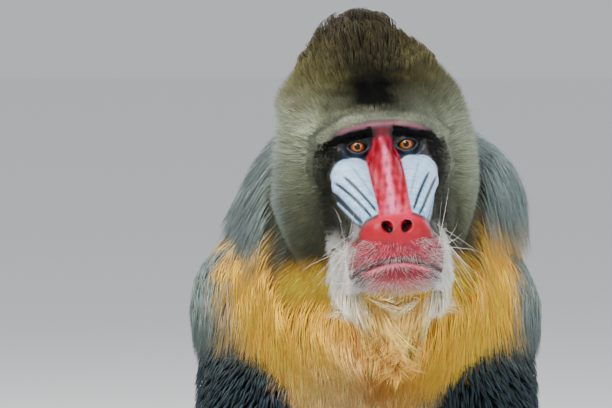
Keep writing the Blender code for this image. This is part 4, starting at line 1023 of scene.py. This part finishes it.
# The eyes look straight at the camera.
for s, side in ((1, "left"), (-1, "right")):
    rings, round_ = 46, 64
    theta = np.concatenate([np.linspace(0, 0.62, 32), np.linspace(0.62, np.pi, 15)[1:]])
    gaze = unit(np.array([-0.010 * s, -1.0, 0.055]))
    right = unit(np.cross(gaze, [0, 0, 1.0]))
    up = np.cross(right, gaze)
    centre = from_head(s * IPD / 2, 0.0, 0.0)
    phi = np.arange(round_) * 2 * np.pi / round_
    radius = (EYE_R - 0.25 + 0.75 * (1 - step(theta, 0.16, 0.60))) / 1000.0
    ring = np.cos(phi)[None, :, None] * right + np.sin(phi)[None, :, None] * up
    verts = centre + radius[:, None, None] * (np.cos(theta)[:, None, None] * gaze + np.sin(theta)[:, None, None] * ring)
    n_ring = len(theta)
    verts[0] = centre + radius[0] * gaze
    flat = np.concatenate([verts[0, :1], verts[1:-1].reshape(-1, 3), verts[-1, :1]])
    loops, totals = [], []
    for i in range(round_):
        j = (i + 1) % round_
        loops += [0, 1 + i, 1 + j]
        totals.append(3)
    for k in range(n_ring - 3):
        for i in range(round_):
            j = (i + 1) % round_
            a, b = 1 + k * round_, 1 + (k + 1) * round_
            loops += [a + i, b + i, b + j, a + j]
            totals.append(4)
    last = len(flat) - 1
    for i in range(round_):
        j = (i + 1) % round_
        a = 1 + (n_ring - 3) * round_
        loops += [a + i, last, a + j]
        totals.append(3)
    eye = linked("eyeball_" + side, flat, np.array(loops), np.array(totals))
    direction = unit(flat - centre)
    th = np.arccos(np.clip(direction @ gaze, -1, 1))
    ph = np.arctan2(direction @ up, direction @ right)
    rays = 0.5 + 0.28 * np.sin(ph * 17 + 1.3 * np.sin(ph * 5)) + 0.22 * np.sin(ph * 41 + 2.0)
    c = np.zeros((len(flat), 3)) + lin(30, 20, 16)
    iris = over(over(np.zeros((len(flat), 3)) + lin(150, 74, 12), lin(84, 38, 6), rays), lin(176, 98, 24), 1 - step(th, 0.24, 0.36))
    iris = over(iris, lin(40, 20, 8), step(th, 0.42, 0.54))
    c = over(c, iris, 1 - step(th, 0.535, 0.575))
    c = over(c, lin(1, 1, 1), 1 - step(th, 0.225, 0.250))
    paint(eye, c)
    eye.data.materials.append(EYEBALL)
    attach(eye, "root")
    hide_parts("eye_" + side)

# Nails: a curved plate on the end of every finger and toe.
nail_points, nail_loops, nail_totals = [], [], []
for rows, origin, turn in ((finger_rows(), HAND_AT, HAND_TURN), (toe_rows(), FOOT_AT, FOOT_TURN)):
    for base, knuckle, tip, r in rows:
        a = math.radians(turn)

        def out(q):
            return np.array([q[0] * math.cos(a) + q[1] * math.sin(a) + origin[0], q[0] * math.sin(a) - q[1] * math.cos(a) + origin[1], q[2]])

        end, before = out(tip), out(knuckle)
        along_ = unit(end - before)
        across = unit(np.cross(along_, [0, 0, 1.0]))
        up = np.cross(across, along_)
        up = up if up[2] > 0 else -up
        size = r * 0.78
        around = np.arange(14) * 2 * np.pi / 14
        for mirror in (1, -1):
            first = sum(len(q) for q in nail_points)
            shell = []
            for level, lift in ((0.0, 0.30), (0.62, 0.30), (1.0, 0.10), (1.0, -0.10), (0.62, -0.12), (0.0, -0.12)):
                for w in around:
                    u = np.copysign(abs(math.cos(w)) ** 0.8, math.cos(w)) * level * 0.80 * size
                    v = np.copysign(abs(math.sin(w)) ** 0.8, math.sin(w)) * level * 1.12 * size
                    q = end + across * u + along_ * (v + 0.28 * size) + up * (size * (0.80 + 0.5 * lift) - 0.55 * u * u / size - 0.10 * v * v / size)
                    shell.append(q * [mirror, 1, 1])
            nail_points.append(np.array(shell))
            for k in range(5):
                for i in range(14):
                    j = (i + 1) % 14
                    quad = [first + k * 14 + i, first + k * 14 + j, first + (k + 1) * 14 + j, first + (k + 1) * 14 + i]
                    nail_loops += quad if mirror * np.sign(np.cross(across, along_) @ up) < 0 else quad[::-1]
                    nail_totals.append(4)
nails = linked("nails", np.concatenate(nail_points), np.array(nail_loops), np.array(nail_totals))
paint(nails, np.zeros((len(nails.data.vertices), 3)) + lin(58, 50, 46))
nails.data.materials.append(NAIL)
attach(nails, "root")

# Which part of the coat each face of the skin carries.
x, f, z = to_head(CENTRES)
ax = np.abs(x)
wx, wy, wz = CENTRES.T
mirror = mirrored(CENTRES)
area = np.linalg.norm(np.cross(POINTS[QUADS[:, 2]] - POINTS[QUADS[:, 0]], POINTS[QUADS[:, 3]] - POINTS[QUADS[:, 1]]), axis=1) / 2
head = on_head(CENTRES) > 0.5
r = np.sqrt((x / 56.0) ** 2 + ((z + 22.0) / 84.0) ** 2)
arm = (near(np.minimum(bone(mirror, SHOULDER, ELBOW, 0.055, 0.04), bone(mirror, ELBOW, WRIST, 0.042, 0.03)), 0.022) > 0.5) & (wz < 0.44)
leg = near(np.minimum(bone(mirror, HIP, KNEE, 0.080, 0.055), bone(mirror, KNEE, ANKLE, 0.050, 0.032)), 0.02) > 0.5
left = wx > 0
PATCHES = {}
rest = np.ones(len(QUADS), bool)
#    name, where, parts of each tuft, cover, most triangles
ORDER = (
    ("beard", on_chin(CENTRES) > 0.5, 3, 14.0, 110000),
    ("jaw_fringe", head & (beside(x, f, z) > 0.3), 2, 34.0, 60000),
    ("crest", head & (z > 64 + 4 * ripple(CENTRES, 0.02, 5.0)) & (f > -150), 3, 19.0, 120000),
    ("face_left", head & (r < 1.22) & (z < 40) & left, 1, 19.0, 105000),
    ("face_right", head & (r < 1.22) & (z < 40) & ~left, 1, 19.0, 105000),
    ("crown", head & (z > 20), 1, 22.0, 140000),
    ("cheek_left", head & left, 1, 24.0, 110000),
    ("cheek_right", head & ~left, 1, 24.0, 110000),
    ("arm_left", arm & left, 2, 10.0, 60000),
    ("arm_right", arm & ~left, 2, 10.0, 60000),
    ("leg_left", leg & left, 2, 9.0, 50000),
    ("leg_right", leg & ~left, 2, 9.0, 50000),
    ("chest_left", (wy < 0.0) & (wz > 0.33) & left, 2, 20.0, 115000),
    ("chest_right", (wy < 0.0) & (wz > 0.33) & ~left, 2, 20.0, 115000),
    ("belly", (wy < 0.06), 2, 8.0, 50000),
    ("mane_left", (wz > 0.38) & left, 2, 17.0, 80000),
    ("mane_right", (wz > 0.38) & ~left, 2, 17.0, 80000),
    ("back", wz > -1, 2, 9.0, 80000),
)
covered = 1 - naked_face
lengths = hair_length(CENTRES)
widths = hair_width(CENTRES)
for number, (name, own, parts, cover, most) in enumerate(ORDER):
    rng = np.random.default_rng(100 + number)
    weight = np.where(own & rest & (covered > 0.12), area * covered * cover / (widths * np.maximum(lengths, 0.006)), 0.0)
    rest = rest & ~own
    wanted = int(weight.sum())
    count = min(wanted, most // (6 * parts - 3))
    stretch = math.sqrt(max(1.0, wanted / max(count, 1)))
    if count < 20:
        continue
    p, n = spread(POINTS, QUADS, weight, count, rng)
    more = dict(clump=0.010, pull=0.42, speckle=0.17)
    if name == "crest":
        more = dict(clump=0.0062, pull=0.80, speckle=0.30, root_shade_tip_light=(0.45, 0.85, 1.8), stay=0.002 + 0.0065 * step(to_head(p)[2], 68, 104), rise=1.15, stand=0.30 * step(to_head(p)[2], 62, 100), uneven=0.22, swirl=0.30)
    elif parts == 1 or name[:5] in ("cheek", "crown"):
        more = dict(clump=0.0045, pull=0.30, speckle=0.36, root_shade_tip_light=(0.60, 0.9, 1.30), stay=0.002)
    elif name in ("beard", "jaw_fringe"):
        more = dict(clump=0.0065, pull=0.70, speckle=0.20, root_shade_tip_light=(0.36, 0.90, 1.20), stay=0.005, uneven=0.22)
    elif name[:5] == "chest" or name[:4] == "mane":
        more = dict(clump=0.011, pull=0.36, speckle=0.15, root_shade_tip_light=(0.62, 1.0, 1.12), stay=0.003)
    grow("fur_" + name, p, n, rng, hair_length(p), hair_width(p) * min(stretch, 2.2), parts, fur_colour(p), **more)

# Whiskers, bristles and the short hair of the brows and the muzzle.
rng = np.random.default_rng(50)
face = wz > 0.40
p, n = spread(POINTS, QUADS, np.where((f > 44) & (z < -66) & (z > -98) & (ax > 30) & face, area, 0.0), 84, rng)
hx, hf, hz = to_head(p)
way = unit(np.stack([np.sign(hx) * 1.0, 0.15 + 0.3 * rng.random(len(p)), 0.15 - 0.9 * rng.random(len(p))], -1) * [1, -1, 1]) @ HEAD_ROT.T
grow("whiskers", p, n, rng, 0.036 + 0.034 * rng.random(len(p)), 0.00030, 3, np.zeros(p.shape) + lin(236, 236, 228), swirl=0.5, curl=0.34, clump=0, root_shade_tip_light=(0.8, 1.0, 1.0), toward=way, rise=2.5, stay=0.05)
on_lip = (f > 40) & (z < -80) & (z > -134) & face & (naked_face > 0.4)
p, n = spread(POINTS, QUADS, np.where(on_lip, area * (0.5 + step(ax, 8, 22) + 0.8 * step(-z, 112, 120)), 0.0), 7500, rng)
hx, hf, hz = to_head(p)
way = unit(np.stack([hx / 22.0, 0.25 + 0 * hx, -0.55 + 0 * hx], -1)) @ HEAD_ROT.T
grow("bristles", p, n, rng, 0.0068 + 0.0040 * rng.random(len(p)), 0.00045, 1, np.zeros(p.shape) + lin(236, 230, 224), swirl=0.4, clump=0, root_shade_tip_light=(0.8, 1.0, 1.0), toward=way, rise=1.3, stay=0.05)
brow_line = 11.2 - 0.0034 * ax ** 2
on_brow = (np.abs(z - brow_line) < 4.6 - 0.035 * ax) & (f > -14) & (ax > 5) & (ax < 47) & face
p, n = spread(POINTS, QUADS, np.where(on_brow, area, 0.0), 5200, rng)
hx, hf, hz = to_head(p)
way = unit(np.stack([np.sign(hx) * 1.0, 0.3 + 0 * hx, 0.35 - np.abs(hx) / 60.0], -1)) @ HEAD_ROT.T
grow("brows", p, n, rng, 0.0080 + 0 * hx, 0.0007, 1, np.zeros(p.shape) + lin(9, 9, 10), swirl=0.3, clump=0.004, toward=way, rise=1.6, stay=0.05)
on_corner = (ax > 36) & (ax < 54) & (z > -20) & (z < 7) & (f > -30) & (ridge(x, f, z) > 1.5) & face
p, n = spread(POINTS, QUADS, np.where(on_corner, area, 0.0), 5000, rng)
hx, hf, hz = to_head(p)
way = unit(np.stack([np.sign(hx) * 1.0, -0.2 + 0 * hx, -0.25 + 0 * hx], -1)) @ HEAD_ROT.T
grow("lid_corners", p, n, rng, 0.0062 + 0 * hx, 0.0007, 1, np.zeros(p.shape) + lin(26, 26, 22), swirl=0.3, clump=0.004, toward=way, rise=1.2, stay=0.05)
on_flank = (f > -4) & (z < 2) & (z > -122) & (ax > 26) & (ridge(x, f, z) > 2.5) & (np.sqrt(((ax - 22) / 24.0) ** 2 + ((z + 1) / 15.0) ** 2) > 1) & ((beside(x, f, z) < 0.35) | (naked_face > 0.25)) & (f < 62) & (naked_face < 0.8) & face
p, n = spread(POINTS, QUADS, np.where(on_flank, area, 0.0), 16000, rng)
hx, hf, hz = to_head(p)
way = unit(np.stack([np.sign(hx) * 0.35, 1.0 + 0 * hx, -0.45 + 0 * hx], -1)) @ HEAD_ROT.T
tone = over(np.zeros(p.shape) + lin(44, 43, 34), lin(246, 242, 226), step(-hz, 64, 84))
grow("fur_muzzle", p, n, rng, 0.008 + 0.006 * step(-hz, 70, 92), 0.0008, 1, tone, clump=0.005, toward=way, rise=1.5, stay=0.05)

# ---------------------------------------------------------------- floor, light and camera
floor = bpy.data.meshes.new("floor")
floor.from_pydata([(-20, -20, 0), (20, -20, 0), (20, 20, 0), (-20, 20, 0)], [], [(0, 1, 2, 3)])
ground = bpy.data.objects.new("floor", floor)
bpy.context.scene.collection.objects.link(ground)
pale = bpy.data.materials.new("floor")
pale.use_nodes = True
pale.node_tree.nodes["Principled BSDF"].inputs["Base Color"].default_value = (0.92, 0.93, 0.94, 1)
pale.node_tree.nodes["Principled BSDF"].inputs["Roughness"].default_value = 0.9
floor.materials.append(pale)

world = bpy.data.worlds.new("studio")
bpy.context.scene.world = world
world.use_nodes = True
world.node_tree.nodes["Background"].inputs["Color"].default_value = (0.93, 0.96, 1.0, 1)
world.node_tree.nodes["Background"].inputs["Strength"].default_value = 0.60


def lamp(name, place, aim, size, power, colour):
    data = bpy.data.lights.new(name, "AREA")
    data.size, data.energy, data.color = size, power, colour
    made = bpy.data.objects.new(name, data)
    bpy.context.scene.collection.objects.link(made)
    made.location = Vector(place) + Vector(SHIFT)
    made.rotation_euler = (Vector(place) - Vector(aim)).to_track_quat("Z", "Y").to_euler()
    return made


lamp("key", (-0.9, -2.0, 2.3), (0, -0.1, 0.5), 0.9, 115.0, (1.0, 0.97, 0.92))
lamp("fill", (1.9, -2.1, 0.75), (0, -0.1, 0.45), 1.6, 34.0, (0.90, 0.95, 1.0))
lamp("rim", (-1.4, 1.7, 1.9), (0, 0, 0.5), 0.8, 40.0, (1.0, 0.97, 0.92))
lamp("spark", (-0.42, -2.70, 1.25), (0, -0.24, 0.6), 0.10, 7.0, (1.0, 1.0, 1.0))
lamp("rim_low", (1.8, 1.2, 1.2), (0, 0, 0.4), 0.8, 22.0, (0.95, 0.98, 1.0))

lens = bpy.data.cameras.new("camera")
lens.lens, lens.sensor_width = 200.0, 36.0
lens.clip_start, lens.clip_end = 0.1, 100.0
camera = bpy.data.objects.new("camera", lens)
bpy.context.scene.collection.objects.link(camera)
tilt = math.radians(4.0)
pixel = 3.0 * 36.0 / 200.0 / 612.0
up = Vector((0, math.sin(tilt), math.cos(tilt)))
aim = Vector(EYE + SHIFT) - Vector((1, 0, 0)) * 75.5 * pixel - up * 58.5 * pixel
camera.location = aim + Vector((0, -math.cos(tilt), math.sin(tilt))) * 3.0
camera.rotation_euler = (math.pi / 2 - tilt, 0, 0)
bpy.context.scene.camera = camera
